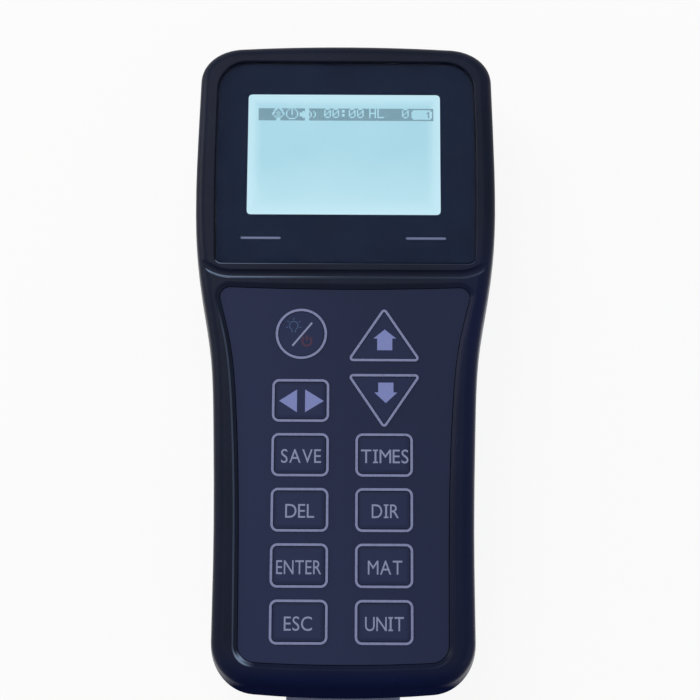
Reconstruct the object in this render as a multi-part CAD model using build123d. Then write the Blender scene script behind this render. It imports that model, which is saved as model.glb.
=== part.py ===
from build123d import *
import math
import os

os.makedirs("parts", exist_ok=True)

# Handheld tester lying on its back. X is the width, Y runs from the foot to the display
# end, Z rises from the back face to the front face. All sizes are millimetres.

# Housing, overall
body_length = 182.6
body_height = 38.0
parting_height = 27.0
head_length = 68.9
wall = 2.4
port_cover_proud = 1.6

# Housing, width at each station, with the height of the station above the groove
head_top_width, head_top_rise = 83.2, 56.4
head_width, head_widest_rise = 84.4, 34.0
head_foot_width, head_foot_rise = 83.5, 9.5
neck_width, neck_rise = 78.7, -8.0
grip_top_width, grip_top_rise = 74.7, -19.8
grip_width, grip_rise = 72.2, -39.0
waist_width, waist_rise = 70.7, -74.0
foot_width, foot_rise = 70.9, -99.0

# Housing, ends and edges
top_flat_width = 58.6
foot_flat_width = 48.0
top_crown = 0.8
foot_crown = 1.0
front_side_draft = 1.0
front_end_draft = 2.6
front_round = 3.4
parting_edge = 0.3
rear_side_draft = 1.6
rear_end_draft = 2.2
rear_round = 7.0
corner_handle = 0.56

# Groove between head and grip
groove_radius = 1.2
groove_rise = 0.35
groove_flat_width = 62.0
groove_end_radius = 12.0
groove_end_turn = 75.0
groove_lip = 0.35

# Display window, let into the head
window_side_inset = 6.1
window_top_inset = 7.4
window_foot_rise = 3.2
window_corner = 8.0
window_foot_corner = 1.8
window_sunk = 0.25
window_thick = 1.2
window_gap = 0.18
window_edge = 0.2
window_print_gap = 0.03
pocket_edge = 0.25
mask_thick = 0.25
mask_margin = 0.3
view_width = 53.7
view_height = 35.1
view_corner = 1.1
view_rise = 34.85
view_shift = -0.5

# Display behind the window
display_width = 58.0
display_height = 44.0
display_gap = 0.3
display_wall = 1.2
display_slip = 0.1
pin_strip = 3.4
glass_thick = 1.8
guide_thick = 2.5
guide_ledge = 1.2
display_pin_count = 16
display_pin_pitch = 2.54
display_pin_size = 0.5

# Keypad recess and overlay
overlay_top_width, overlay_top_rise = 68.0, -6.9
overlay_shoulder_width, overlay_shoulder_rise = 62.4, -18.4
overlay_mid_width, overlay_mid_rise = 58.6, -34.0
overlay_waist_width, overlay_waist_rise = 56.0, -62.0
overlay_foot_width, overlay_foot_rise = 55.2, -100.2
overlay_top_drop = 4.3
overlay_top_flat = 62.8
overlay_top_sag = -0.6
overlay_foot_lift = 8.6
overlay_foot_flat = 46.0
overlay_foot_sag = 0.6
overlay_sunk = 0.8
overlay_thick = 0.5
overlay_gap = 0.2
recess_slope = 1.3
recess_crest = 0.8
spacer_thick = 1.0
spacer_inset = 0.3
spacer_key_gap = 0.25
circuit_thick = 0.3
front_wall_below = 2.0

# Keys
key_column_pitch = 22.5
key_row_pitch = 14.75
key_rows_above = 4
keys_shift = -0.56
last_row_lift = 19.6
key_width = 14.7
key_depth = 11.0
key_corner = 1.6
power_key_radius = 6.65
power_key_lift = 18.4
arrow_key_width = 19.1
arrow_key_height = 14.2
arrow_key_corner = 0.62
arrow_key_split = 4.2
arrow_keys_lift = 9.1
rim_width = 0.65
rim_height = 0.25
key_gap = 0.12
key_proud = 0.1
key_flange = 0.5
key_flange_thick = 0.2
key_seat_gap = 0.02
key_travel = 0.25
dome_clearance = 0.06
dome_height = 0.3
dome_radius = 3.5
dome_thick = 0.12
dome_lean = 0.12
actuator_radius = 1.5

# Keypad tail
tail_width = 14.0
tail_rise = 31.5
tail_slot_gap = 0.5

# Circuit board
board_thick = 1.6
board_drop = 7.0
board_head_width = 56.4
board_grip_width = 46.0
board_top_inset = 5.4
board_foot_inset = 5.0
board_head_rise = 2.0
board_corner = 2.0
post_radius = 2.6
post_bore = 0.9
post_head_x, post_head_inset = 20.0, 7.6
post_neck_x, post_neck_rise = 22.0, 7.4
post_foot_x, post_foot_lift = 18.0, 21.5
board_screw_bite = 4.5
thread_gap = 0.05
board_screw_head_radius = 2.1
board_screw_head = 1.3

# Parts on the circuit board
processor_size, processor_x, processor_rise = 14.0, -6.0, 30.0
memory_width, memory_depth, memory_x, memory_rise = 8.0, 6.0, 12.0, 33.0
amplifier_width, amplifier_depth, amplifier_x, amplifier_rise = 6.0, 5.0, -4.0, 48.0
chip_height = 1.4
chip_edge = 0.2
buzzer_radius, buzzer_height, buzzer_x, buzzer_rise = 6.0, 4.5, 17.0, 19.0
clock_radius, clock_height, clock_x, clock_rise = 6.25, 2.5, -19.0, 17.5
clock_holder_rim = 1.2
clock_holder_base = 0.8
clock_cell_edge = 0.3
buzzer_mouth = 1.0
connector_depth = 4.5
connector_height = 2.6
connector_rim = 1.2

# Battery bay, two round cells side by side
cell_radius = 7.15
cell_length = 50.3
cell_button_radius = 2.7
cell_button = 1.0
cell_gap = 0.45
bay_clearance = 0.4
bay_wall = 1.6
bay_lift = 15.3
spring_room = 4.6
plate_room = 1.0
contact_thick = 0.4
contact_width = 10.0
contact_slip = 0.1
leaf_width = 5.0
leaf_rise = 1.6
cell_edge = 0.6

# Battery door
door_thick = 2.0
door_sunk = 0.2
door_gap = 0.15
door_land = 2.8
door_ledge = 2.2
door_corner = 3.0
hook_x = 12.0
hook_width = 5.0
hook_reach = 2.2
hook_thick = 1.2
hook_gap = 0.25
hook_roof = 1.2
latch_width = 12.0
latch_slot = 0.9
latch_length = 9.0
finger_radius = 6.0
finger_depth = 1.6
grip_rib_count = 5
grip_rib_pitch = 2.4
grip_rib_radius = 0.5
grip_rib_length = 20.0

# Case screws
case_boss_radius = 3.7
case_screw_radius = 1.45
case_screw_clear = 0.25
case_screw_head_radius = 2.7
case_screw_head = 2.2
case_screw_bore_radius = 3.0
case_screw_seat = 5.0
case_screw_bite = 5.0
screw_top_x, screw_top_inset = 32.6, 9.8
screw_neck_x, screw_neck_rise = 32.4, 6.0
screw_foot_x, screw_foot_lift = 27.2, 14.6
recess_drive_radius = 1.2
recess_drive_depth = 1.2

# Gasket in the parting line
gasket_width = 0.9
gasket_height = 1.0
gasket_inset = 0.9
gasket_gap = 0.04

# Probe socket in the display end
socket_height = 15.5
socket_flange_radius = 7.4
socket_flange = 1.2
socket_body_radius = 6.0
socket_bore_radius = 4.7
socket_bore_depth = 6.0
socket_core_radius = 4.3
socket_insert_length = 9.0
socket_plate_width = 22.0
socket_plate_base = 7.2
socket_plate_wing = 1.6
socket_pad_depth = 5.2
socket_seat_inset = 2.8
socket_nut_radius = 8.0
socket_nut = 2.4
socket_gap = 0.1
socket_edge = 0.4
contact_count = 4
contact_circle = 2.4
contact_turn = 45.0
contact_radius = 0.55
contact_bore = 0.3
contact_tail = 2.0

# Data port in the foot
port_width = 9.0
port_height = 3.3
port_depth = 7.4
port_shell = 0.35
port_setback = 1.2
port_pad_depth = 4.4
port_tongue_width = 6.6
port_tongue = 0.8
port_root = 1.2
fillet_slack = 0.02
port_opening_gap = 0.3

# Port cover
cover_width = 30.5
cover_height = 9.4
cover_corner = 2.0
cover_recess = 1.4
cover_gap = 0.15
cover_top_drop = 1.4
cover_plug_inset = 0.35
cover_plug = 1.1
cover_edge = 1.1
cover_seat_gap = 0.1

# Places that follow from the sizes above
body_y = port_cover_proud / 2
top_y = body_y + body_length / 2
foot_y = body_y - body_length / 2
groove_y = top_y - head_length
front = body_height
overlay_top = front - overlay_sunk
overlay_under = overlay_top - overlay_thick
spacer_under = overlay_under - spacer_thick
recess_floor = spacer_under - circuit_thick
ceiling = recess_floor - front_wall_below
window_top = front - window_sunk
window_under = window_top - window_thick
mask_top = window_under - window_print_gap
window_floor = mask_top - mask_thick
board_top = ceiling - board_drop
board_under = board_top - board_thick
view_y = groove_y + view_rise

body_stations = (
    (foot_rise, foot_width),
    (waist_rise, waist_width),
    (grip_rise, grip_width),
    (grip_top_rise, grip_top_width),
    (neck_rise, neck_width),
    (head_foot_rise, head_foot_width),
    (head_widest_rise, head_width),
    (head_top_rise, head_top_width),
)
overlay_stations = (
    (overlay_foot_rise, overlay_foot_width),
    (overlay_waist_rise, overlay_waist_width),
    (overlay_mid_rise, overlay_mid_width),
    (overlay_shoulder_rise, overlay_shoulder_width),
    (overlay_top_rise, overlay_top_width),
)


def save(node, shape):
    """Write one node, its solids as they are, to the parts folder."""
    shape.label = node
    export_step(shape, os.path.join("parts", node + ".step"))


def group(solids):
    """Separate solids that share one node."""
    return Compound(children=list(solids))


def outline(stations, top, foot, top_flat, foot_flat, top_sag, foot_sag, side_inset=0.0, end_inset=0.0):
    """Mirror-symmetric outline: a curve through the stations, round corners, crowned ends."""
    side = [Vector(width / 2 - side_inset, groove_y + rise) for rise, width in stations]
    top_corner = Vector(top_flat / 2, top - end_inset - top_sag)
    foot_corner = Vector(foot_flat / 2, foot + end_inset + foot_sag)
    upper = side[-1]
    lower = side[0]
    lean_up = (side[-1] - side[-2]).normalized()
    lean_down = (side[0] - side[1]).normalized()
    edges = []
    for flip in (1, -1):
        def place(point):
            return (flip * point.X, point.Y)

        points = [place(point) for point in side]
        rise_up = (flip * lean_up.X, lean_up.Y)
        rise_low = (-flip * lean_down.X, -lean_down.Y)
        edges.append(Spline(*points, tangents=[rise_low, rise_up]))
        reach = corner_handle * (top_corner.Y - upper.Y)
        top_slope = Vector(1, -4 * top_sag / top_flat).normalized()
        inward = corner_handle * (upper.X - top_corner.X)
        edges.append(
            Bezier(
                place(upper),
                place(upper + lean_up * reach),
                place(top_corner + top_slope * inward),
                place(top_corner),
            )
        )
        drop = corner_handle * (lower.Y - foot_corner.Y)
        foot_slope = Vector(1, 4 * foot_sag / foot_flat).normalized()
        outward = corner_handle * (lower.X - foot_corner.X)
        edges.append(
            Bezier(
                place(lower),
                place(lower + lean_down * drop),
                place(foot_corner + foot_slope * outward),
                place(foot_corner),
            )
        )
    top_mid = (0, top - end_inset)
    foot_mid = (0, foot + end_inset)
    edges.append(
        ThreePointArc((top_corner.X, top_corner.Y), top_mid, (-top_corner.X, top_corner.Y))
    )
    edges.append(
        ThreePointArc((foot_corner.X, foot_corner.Y), foot_mid, (-foot_corner.X, foot_corner.Y))
    )
    return make_face(edges)


def body_outline(side_inset=0.0, end_inset=0.0):
    """Outline of the housing, drawn in by the insets."""
    return outline(
        body_stations, top_y, foot_y, top_flat_width, foot_flat_width, top_crown, foot_crown,
        side_inset, end_inset,
    )


def overlay_outline(grow=0.0):
    """Outline of the keypad overlay, grown all round."""
    top = groove_y - overlay_top_drop
    foot = foot_y + overlay_foot_lift
    return outline(
        overlay_stations, top, foot, overlay_top_flat, overlay_foot_flat, overlay_top_sag,
        overlay_foot_sag, -grow, -grow,
    )


def parting_lip(height, side_inset, end_inset):
    """Edge of a housing half, drawn in towards the parting line to leave a fine groove there."""
    inner = Pos(0, 0, parting_height) * body_outline(parting_edge, parting_edge)
    outer = Pos(0, 0, height) * body_outline(side_inset, end_inset)
    return loft([inner, outer] if height > parting_height else [outer, inner], ruled=True)


def front_form(inset, base, top):
    """Solid of the front half between two heights, drawn in by the inset."""
    rise = body_height - parting_height
    low = (base - parting_height) / rise
    high = (top - parting_height) / rise
    lower = body_outline(inset + front_side_draft * low, inset + front_end_draft * low)
    upper = body_outline(inset + front_side_draft * high, inset + front_end_draft * high)
    return loft([Pos(0, 0, base) * lower, Pos(0, 0, top) * upper], ruled=True)


def rear_form(inset, base, top):
    """Solid of the rear half between two heights, drawn in by the inset."""
    low = (parting_height - base) / parting_height
    high = (parting_height - top) / parting_height
    lower = body_outline(inset + rear_side_draft * low, inset + rear_end_draft * low)
    upper = body_outline(inset + rear_side_draft * high, inset + rear_end_draft * high)
    return loft([Pos(0, 0, base) * lower, Pos(0, 0, top) * upper], ruled=True)


def cylinder(radius, low, high, x=0.0, y=0.0):
    """Upright cylinder between two heights."""
    return extrude(Pos(x, y, low) * Circle(radius), high - low)


def block(x_low, x_high, y_low, y_high, z_low, z_high):
    """Box between its limits."""
    size = (x_high - x_low, y_high - y_low, z_high - z_low)
    middle = ((x_low + x_high) / 2, (y_low + y_high) / 2, (z_low + z_high) / 2)
    return Pos(*middle) * Box(*size)


def plate(face, low, high):
    """Flat plate of a face between two heights."""
    return extrude(Pos(0, 0, low) * face, high - low)


def window_outline(grow=0.0):
    """Outline of the display window, its sides bowed with the head."""
    top = top_y - window_top_inset + grow
    foot = groove_y + window_foot_rise - grow
    half_top = head_top_width / 2 - window_side_inset + grow
    half_mid = head_width / 2 - window_side_inset + grow
    half_foot = head_foot_width / 2 - window_side_inset + grow
    middle = groove_y + head_widest_rise
    right = ThreePointArc((half_foot, foot), (half_mid, middle), (half_top, top))
    left = ThreePointArc((-half_foot, foot), (-half_mid, middle), (-half_top, top))
    over = Line((half_top, top), (-half_top, top))
    under = Line((half_foot, foot), (-half_foot, foot))
    face = make_face([right, over, left, under])
    corners = face.vertices().sort_by(Axis.Y)
    face = fillet(corners[:2], window_foot_corner + grow)
    corners = face.vertices().sort_by(Axis.Y)
    return fillet(corners[-2:], window_corner + grow)


def pose_key(kind):
    """Middle of a key, as a place on the front face."""
    last_row = foot_y + last_row_lift
    upper_row = last_row + key_rows_above * key_row_pitch
    left = keys_shift - key_column_pitch / 2
    right = keys_shift + key_column_pitch / 2
    inner = arrow_inner_radius(0.0)
    split = upper_row + arrow_keys_lift
    places = {
        "power": (left, upper_row + power_key_lift),
        "up": (right, split + arrow_key_split / 2 + inner),
        "down": (right, split - arrow_key_split / 2 - inner),
        "left_right": (left, upper_row),
        "save": (left, last_row + 3 * key_row_pitch),
        "times": (right, last_row + 3 * key_row_pitch),
        "del": (left, last_row + 2 * key_row_pitch),
        "dir": (right, last_row + 2 * key_row_pitch),
        "enter": (left, last_row + key_row_pitch),
        "mat": (right, last_row + key_row_pitch),
        "esc": (left, last_row),
        "unit": (right, last_row),
    }
    return Pos(*places[kind])


key_kinds = (
    "power", "up", "down", "left_right", "save", "times", "del", "dir", "enter", "mat", "esc",
    "unit",
)


def arrow_inner_radius(grow):
    """Radius of the circle that fits inside a grown arrow key."""
    half = arrow_key_width / 2
    slant = math.hypot(half, arrow_key_height)
    return half * arrow_key_height / (half + slant) + grow


def arrow_shape(grow, upward):
    """Triangle round its inner circle's middle, point up or down."""
    scale_up = arrow_inner_radius(grow) / arrow_inner_radius(0.0)
    half = scale_up * arrow_key_width / 2
    base = -arrow_inner_radius(grow)
    peak = scale_up * arrow_key_height + base
    turn = 1 if upward else -1
    corners = [(-half, turn * base), (half, turn * base), (0, turn * peak)]
    face = make_face(Polyline(*corners, close=True))
    return fillet(face.vertices(), arrow_key_corner + grow)


def key_shape(kind, grow=0.0):
    """Face of a key's outline, grown all round, at its place."""
    if kind == "power":
        face = Circle(power_key_radius + grow)
    elif kind in ("up", "down"):
        face = arrow_shape(grow, kind == "up")
    else:
        face = RectangleRounded(key_width + 2 * grow, key_depth + 2 * grow, key_corner + grow)
    return pose_key(kind) * face


def groove_tool():
    """Round bar along the groove, its ends turned up towards the head."""
    half = groove_flat_width / 2
    height = front + groove_rise
    right_middle = Vector(half, groove_y + groove_end_radius)
    turn = math.radians(groove_end_turn)
    mid_turn = turn / 2
    tip = right_middle + Vector(math.sin(turn), -math.cos(turn)) * groove_end_radius
    bow = right_middle + Vector(math.sin(mid_turn), -math.cos(mid_turn)) * groove_end_radius
    middle = Line((-half, groove_y, height), (half, groove_y, height))
    right = ThreePointArc((half, groove_y, height), (bow.X, bow.Y, height), (tip.X, tip.Y, height))
    left = ThreePointArc(
        (-half, groove_y, height), (-bow.X, bow.Y, height), (-tip.X, tip.Y, height)
    )
    path = Wire([left, middle, right])
    start = Plane(origin=path @ 0, z_dir=path % 0)
    return sweep(start * Circle(groove_radius), path)


def groove_lips(form):
    """Edges where the groove meets the front face and the rounded edge beside it."""
    lips = []
    for edge in form.edges():
        reach = edge.bounding_box()
        level = reach.min.Z > front - groove_radius
        beside = abs((edge @ 0.5).Y - groove_y) < groove_end_radius / 2
        if level and beside and reach.size.X > groove_radius:
            lips.append(edge)
    return lips


def front_edges(form, face):
    """Edges of an opening in the front face that follow the rim of a face."""
    rim = face.face().outer_wire()
    found = []
    for edge in form.edges():
        middle = edge @ 0.5
        reach = edge.bounding_box()
        level = reach.min.Z > front - fillet_slack
        if level and rim.distance_to(Vector(middle.X, middle.Y, 0)) < fillet_slack:
            found.append(edge)
    return found


def board_posts():
    """Places of the posts that carry the circuit board."""
    return [
        (side * x, y)
        for side in (-1, 1)
        for x, y in (
            (post_head_x, top_y - post_head_inset),
            (post_neck_x, groove_y + post_neck_rise),
            (post_foot_x, foot_y + post_foot_lift),
        )
    ]


def case_screw_places():
    """Places of the screws that join the housing halves."""
    return [
        (side * x, y)
        for side in (-1, 1)
        for x, y in (
            (screw_top_x, top_y - screw_top_inset),
            (screw_neck_x, groove_y + screw_neck_rise),
            (screw_foot_x, foot_y + screw_foot_lift),
        )
    ]


tail_y = groove_y - tail_rise


def make_front_shell():
    """Front half of the housing with its pocket, recess, groove, posts and bosses."""
    form = front_form(0, parting_height + parting_edge, front)
    form = fillet(form.faces().sort_by(Axis.Z)[-1].edges(), front_round)
    form -= groove_tool()
    form = fillet(groove_lips(form), groove_lip)
    share = parting_edge / (body_height - parting_height)
    form += parting_lip(
        parting_height + parting_edge, front_side_draft * share, front_end_draft * share
    )
    form -= front_form(wall, parting_height, ceiling)
    form -= plate(window_outline(window_gap), window_floor, front)
    half_width = display_width / 2 + display_gap
    half_height = display_height / 2 + display_gap
    form = chamfer(front_edges(form, window_outline(window_gap)), pocket_edge)
    form -= display_block(half_width, -half_height, half_height, ceiling, window_floor)
    flare = (recess_slope - overlay_gap) / overlay_sunk
    form -= plate(overlay_outline(overlay_gap), recess_floor, overlay_top)
    mouth = [
        Pos(0, 0, overlay_top) * overlay_outline(overlay_gap),
        Pos(0, 0, front + overlay_sunk) * overlay_outline(overlay_gap + 2 * flare * overlay_sunk),
    ]
    form -= loft(mouth, ruled=True)
    form = fillet(front_edges(form, overlay_outline(recess_slope)), recess_crest)
    for x, y in case_screw_places():
        form += cylinder(case_boss_radius, parting_height, ceiling + wall / 4, x, y)
    for x, y in board_posts():
        form += cylinder(post_radius, board_top, ceiling + wall / 4, x, y)
    bite = parting_height + case_screw_bite + case_screw_clear
    for x, y in case_screw_places():
        form -= cylinder(case_screw_radius + thread_gap, parting_height, bite, x, y)
    for x, y in board_posts():
        form -= cylinder(post_bore + thread_gap, board_top, board_top + board_screw_bite, x, y)
    form -= block(
        -tail_width / 2 - tail_slot_gap, tail_width / 2 + tail_slot_gap, tail_y - tail_slot_gap,
        tail_y + circuit_thick + tail_slot_gap, ceiling, recess_floor,
    )
    return form


# Places of the battery bay, the cover and the sockets
cell_x = cell_radius + cell_gap / 2
bay_half = cell_x + cell_radius + bay_clearance
bay_foot = foot_y + bay_lift
bay_top = bay_foot + plate_room + cell_length + spring_room
door_inner = door_sunk + door_thick
cell_z = door_inner + bay_clearance + cell_radius
bay_roof = cell_z + cell_radius + bay_clearance
door_half = bay_half + door_land
door_foot = bay_foot - door_land
door_top = bay_top + door_land
door_seat = door_inner + hook_gap
door_pad = door_seat + door_ledge
hinge_door_y = door_top + door_gap / 2
port_z = board_under - port_height / 2
cover_top = parting_height - cover_top_drop
cover_base = cover_top - cover_height
cover_seat_y = foot_y + cover_recess
port_face_y = cover_seat_y + port_setback
socket_seat_y = top_y - socket_seat_inset
socket_face_y = socket_seat_y + socket_flange
socket_pad_y = top_y - socket_pad_depth
gasket_floor = parting_height - gasket_height


def across(radius, start_y, end_y, x, z):
    """Cylinder along the length of the housing."""
    disc = Plane(origin=(x, start_y, z), z_dir=(0, 1, 0)) * Circle(radius)
    return extrude(disc, end_y - start_y)


def end_plate(width, height, corner, start_y, end_y, z):
    """Rounded rectangular plate that stands across the length of the housing."""
    face = RectangleRounded(width, height, corner)
    standing = Plane(origin=(0, start_y, z), x_dir=(1, 0, 0), z_dir=(0, 1, 0))
    return extrude(standing * face, end_y - start_y)


def rounded_rectangle(half_width, low_y, high_y, corner):
    """Flat rounded rectangle between two places along the length."""
    return Pos(0, (low_y + high_y) / 2) * RectangleRounded(2 * half_width, high_y - low_y, corner)


def gasket_ring(grow):
    """Face of the gasket's path round the housing, grown on both sides."""
    outer = body_outline(gasket_inset - grow, gasket_inset - grow)
    inner_inset = gasket_inset + gasket_width + grow
    return outer - body_outline(inner_inset, inner_inset)


def rear_outside():
    """Outer form of the rear half, its upper edge drawn in at the parting line."""
    form = rear_form(0, 0, parting_height - parting_edge)
    form = fillet(form.faces().sort_by(Axis.Z)[0].edges(), rear_round)
    share = parting_edge / parting_height
    return form + parting_lip(
        parting_height - parting_edge, rear_side_draft * share, rear_end_draft * share
    )


def make_rear_shell():
    """Rear half of the housing with bosses, battery bay, door seat and end openings."""
    form = rear_outside()
    hollow = rear_form(wall, wall, parting_height)
    hollow = fillet(hollow.faces().sort_by(Axis.Z)[0].edges(), rear_round - wall)
    form -= hollow
    pad_half = door_half + door_gap + bay_wall
    pad_foot = door_foot - door_gap - finger_radius
    pad_top = door_top + door_gap + bay_wall + hook_reach
    form += block(-pad_half, pad_half, pad_foot, pad_top, wall / 2, door_pad)
    form += block(
        -bay_half - bay_wall, bay_half + bay_wall, bay_foot - bay_wall, bay_top + bay_wall, door_seat,
        bay_roof + bay_wall,
    )
    port_pad = end_plate(
        cover_width + 2 * cover_corner, cover_height, cover_corner, foot_y, foot_y + port_pad_depth,
        (cover_base + cover_top) / 2,
    )
    form += intersect_pad(port_pad)
    for side in (-1, 1):
        cap = hook_width / 2 + hook_gap + hook_roof
        form += block(
            side * hook_x - cap, side * hook_x + cap, bay_top,
            hinge_door_y + hook_reach + 2 * door_gap + hook_roof, wall / 2, door_pad + hook_roof,
        )
    for x, y in case_screw_places():
        form += cylinder(case_boss_radius, wall / 2, parting_height, x, y)
    form -= block(-bay_half, bay_half, bay_foot, bay_top, 0, bay_roof)
    recess = rounded_rectangle(
        door_half + door_gap, door_foot - door_gap, door_top + door_gap, door_corner + door_gap
    )
    form -= plate(recess, 0, door_seat)
    for side in (-1, 1):
        reach = hook_reach + 2 * door_gap
        form -= block(
            side * hook_x - hook_width / 2 - hook_gap, side * hook_x + hook_width / 2 + hook_gap,
            hinge_door_y - door_land - hook_reach, hinge_door_y + reach, door_inner, door_pad,
        )
    scoop = Pos(0, door_foot - door_gap, 0) * Cylinder(finger_radius, 2 * finger_depth)
    form -= scoop
    for x, y in case_screw_places():
        form -= cylinder(case_screw_bore_radius, 0, case_screw_seat, x, y)
        form -= cylinder(case_screw_radius + case_screw_clear, case_screw_seat, parting_height, x, y)
    form -= plate(gasket_ring(gasket_gap), gasket_floor, parting_height)
    form -= end_plate(
        cover_width + 2 * cover_gap, cover_height + 2 * cover_gap, cover_corner + cover_gap,
        foot_y - cover_recess, cover_seat_y, (cover_base + cover_top) / 2,
    )
    form -= end_plate(
        port_width + 2 * port_opening_gap, port_height + 2 * port_opening_gap,
        port_height / 2 + port_opening_gap - fillet_slack, foot_y, foot_y + port_pad_depth,
        port_z,
    )
    half = socket_plate_width / 2
    form -= block(-half, half, socket_pad_y, top_y, socket_plate_base, parting_height)
    return form


def make_socket_plate():
    """Plate in a notch of the rear half, with wings behind its wall and the seat of the socket."""
    half = socket_plate_width / 2 - socket_gap
    wing = half + socket_plate_wing
    behind = block(-wing, wing, socket_pad_y, top_y, socket_plate_base, parting_height)
    form = block(-half, half, socket_pad_y, top_y, socket_plate_base, parting_height)
    form = (form & rear_outside()) + (behind & rear_form(wall, 0, parting_height))
    form -= plate(gasket_ring(gasket_gap), gasket_floor, parting_height)
    form -= across(socket_flange_radius + socket_gap, socket_seat_y, top_y, 0, socket_height)
    form -= across(socket_body_radius + socket_gap, socket_pad_y, top_y, 0, socket_height)
    return form


def intersect_pad(shape):
    """The part of a pad that lies inside the rear half's outer form."""
    return shape & rear_form(wall / 2, 0, parting_height)


def make_gasket():
    """Seal that lies in the rear half's channel, level with the parting line."""
    return plate(gasket_ring(0.0), gasket_floor, parting_height)


def make_window():
    """Clear window, let into the pocket of the head."""
    form = plate(window_outline(), window_under, window_top)
    return chamfer(form.faces().sort_by(Axis.Z)[-1].edges(), window_edge)


def make_mask():
    """Dark frame behind the window, open over the display."""
    view = Pos(view_shift, view_y) * RectangleRounded(view_width, view_height, view_corner)
    return plate(window_outline(-mask_margin) - view, window_floor, mask_top)


display_top = window_floor - display_gap
glass_half_width = display_width / 2 - display_wall - display_slip
glass_half_height = display_height / 2 - display_wall - display_slip
glass_under = display_top - glass_thick
guide_under = glass_under - guide_thick
pin_y = view_y + glass_half_height - pin_strip / 2


def display_block(half_width, low, high, z_low, z_high):
    """Box in the display, its ends given from the middle of the view."""
    return block(
        view_shift - half_width, view_shift + half_width, view_y + low, view_y + high, z_low, z_high
    )


def make_display_glass():
    """Display panel, held by the frame on all four sides."""
    return display_block(
        glass_half_width, -glass_half_height, glass_half_height, glass_under, display_top
    )


def make_light_guide():
    """Lit plate behind the display panel, short of the row of pins."""
    return display_block(
        glass_half_width, -glass_half_height, glass_half_height - pin_strip, guide_under, glass_under
    )


def make_display_frame():
    """Frame that holds glass and light guide and stands on the board."""
    half_width = display_width / 2
    half_height = display_height / 2
    form = display_block(half_width, -half_height, half_height, board_top, display_top)
    form -= display_block(
        glass_half_width + display_slip, -glass_half_height - display_slip,
        glass_half_height + display_slip, guide_under, display_top,
    )
    form -= display_block(
        half_width - display_wall - guide_ledge, guide_ledge + display_wall - half_height,
        glass_half_height + display_slip, board_top, guide_under,
    )
    return form


def make_display_pins():
    """Row of pins from the glass down to the board."""
    first = view_shift - (display_pin_count - 1) / 2 * display_pin_pitch
    half = display_pin_size / 2
    pins = []
    for n in range(display_pin_count):
        x = first + n * display_pin_pitch
        pins.append(block(x - half, x + half, pin_y - half, pin_y + half, board_top, glass_under))
    return group(pins)


def make_overlay():
    """Keypad overlay with a window and a raised rim for each key."""
    form = plate(overlay_outline(), overlay_under, overlay_top)
    for kind in key_kinds:
        form += plate(key_shape(kind, rim_width / 2), overlay_under, overlay_top + rim_height)
    for kind in key_kinds:
        form -= plate(key_shape(kind, -rim_width / 2), overlay_under, overlay_top + rim_height)
    return form


def make_spacer():
    """Spacer under the overlay, open round each key's flange."""
    room = key_flange - rim_width / 2 + spacer_key_gap
    form = plate(overlay_outline(-spacer_inset), spacer_under, overlay_under)
    for kind in key_kinds:
        form -= plate(key_shape(kind, room), spacer_under, overlay_under)
    return form


def make_circuit():
    """Printed circuit of the keypad with its tail down to the board."""
    form = plate(overlay_outline(-spacer_inset), recess_floor, spacer_under)
    form += block(
        -tail_width / 2, tail_width / 2, tail_y, tail_y + circuit_thick,
        board_top + connector_height / 2, spacer_under,
    )
    return form


def make_domes():
    """Snap domes, one under each key, standing on the circuit."""
    top = spacer_under + dome_height
    outside = Spline((0, top), (dome_radius, spacer_under), tangents=[(1, 0), (1, -dome_lean)])
    inside = Spline(
        (0, top - dome_thick), (dome_radius - dome_thick, spacer_under),
        tangents=[(1, 0), (1, -dome_lean)],
    )
    rim = Line((dome_radius - dome_thick, spacer_under), (dome_radius, spacer_under))
    middle = Line((0, top - dome_thick), (0, top))
    section = Plane.XZ * make_face([outside, rim, inside, middle])
    dome = revolve(section, Axis.Z)
    return group(pose_key(kind) * dome for kind in key_kinds)


def make_key(kind):
    """Key pad with its flange under the overlay and its actuator over the dome."""
    flange_top = overlay_under - key_seat_gap
    flange_under = flange_top - key_flange_thick
    tip = spacer_under + dome_height + dome_clearance + key_travel
    shape = -rim_width / 2 - key_gap
    top = overlay_top + key_proud
    form = plate(key_shape(kind, shape), flange_under, top)
    form = chamfer(form.faces().sort_by(Axis.Z)[-1].edges(), key_proud)
    form += plate(key_shape(kind, shape + key_flange), flange_under, flange_top)
    middle = pose_key(kind).position
    form += cylinder(actuator_radius, tip, flange_under, middle.X, middle.Y)
    return form


def make_board():
    """Circuit board, wide in the head and narrow in the grip."""
    neck = groove_y + board_head_rise
    head = rounded_rectangle(board_head_width / 2, neck, top_y - board_top_inset, board_corner)
    grip = rounded_rectangle(
        board_grip_width / 2, foot_y + board_foot_inset, neck + 2 * board_corner, board_corner
    )
    form = plate(head + grip, board_under, board_top)
    for x, y in board_posts():
        form -= cylinder(post_bore + case_screw_clear, board_under, board_top, x, y)
    return form


def make_board_screws():
    """Screws up through the board into the posts of the front half."""
    return group(
        cylinder(board_screw_head_radius, board_under - board_screw_head, board_under, x, y)
        + cylinder(post_bore, board_under, board_top + board_screw_bite - case_screw_clear, x, y)
        for x, y in board_posts()
    )


def make_chip(width, depth, x, rise):
    """Chip soldered under the board, its middle at a rise above the groove."""
    y = groove_y + rise
    low = board_under - chip_height
    form = block(x - width / 2, x + width / 2, y - depth / 2, y + depth / 2, low, board_under)
    return chamfer(form.faces().sort_by(Axis.Z)[0].edges(), chip_edge)


def make_buzzer():
    """Round buzzer under the board, open in the middle of its face."""
    y = groove_y + buzzer_rise
    form = cylinder(buzzer_radius, board_under - buzzer_height, board_under, buzzer_x, y)
    mouth = cylinder(
        buzzer_mouth, board_under - buzzer_height, board_under - buzzer_height / 2, buzzer_x, y
    )
    return form - mouth


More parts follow.
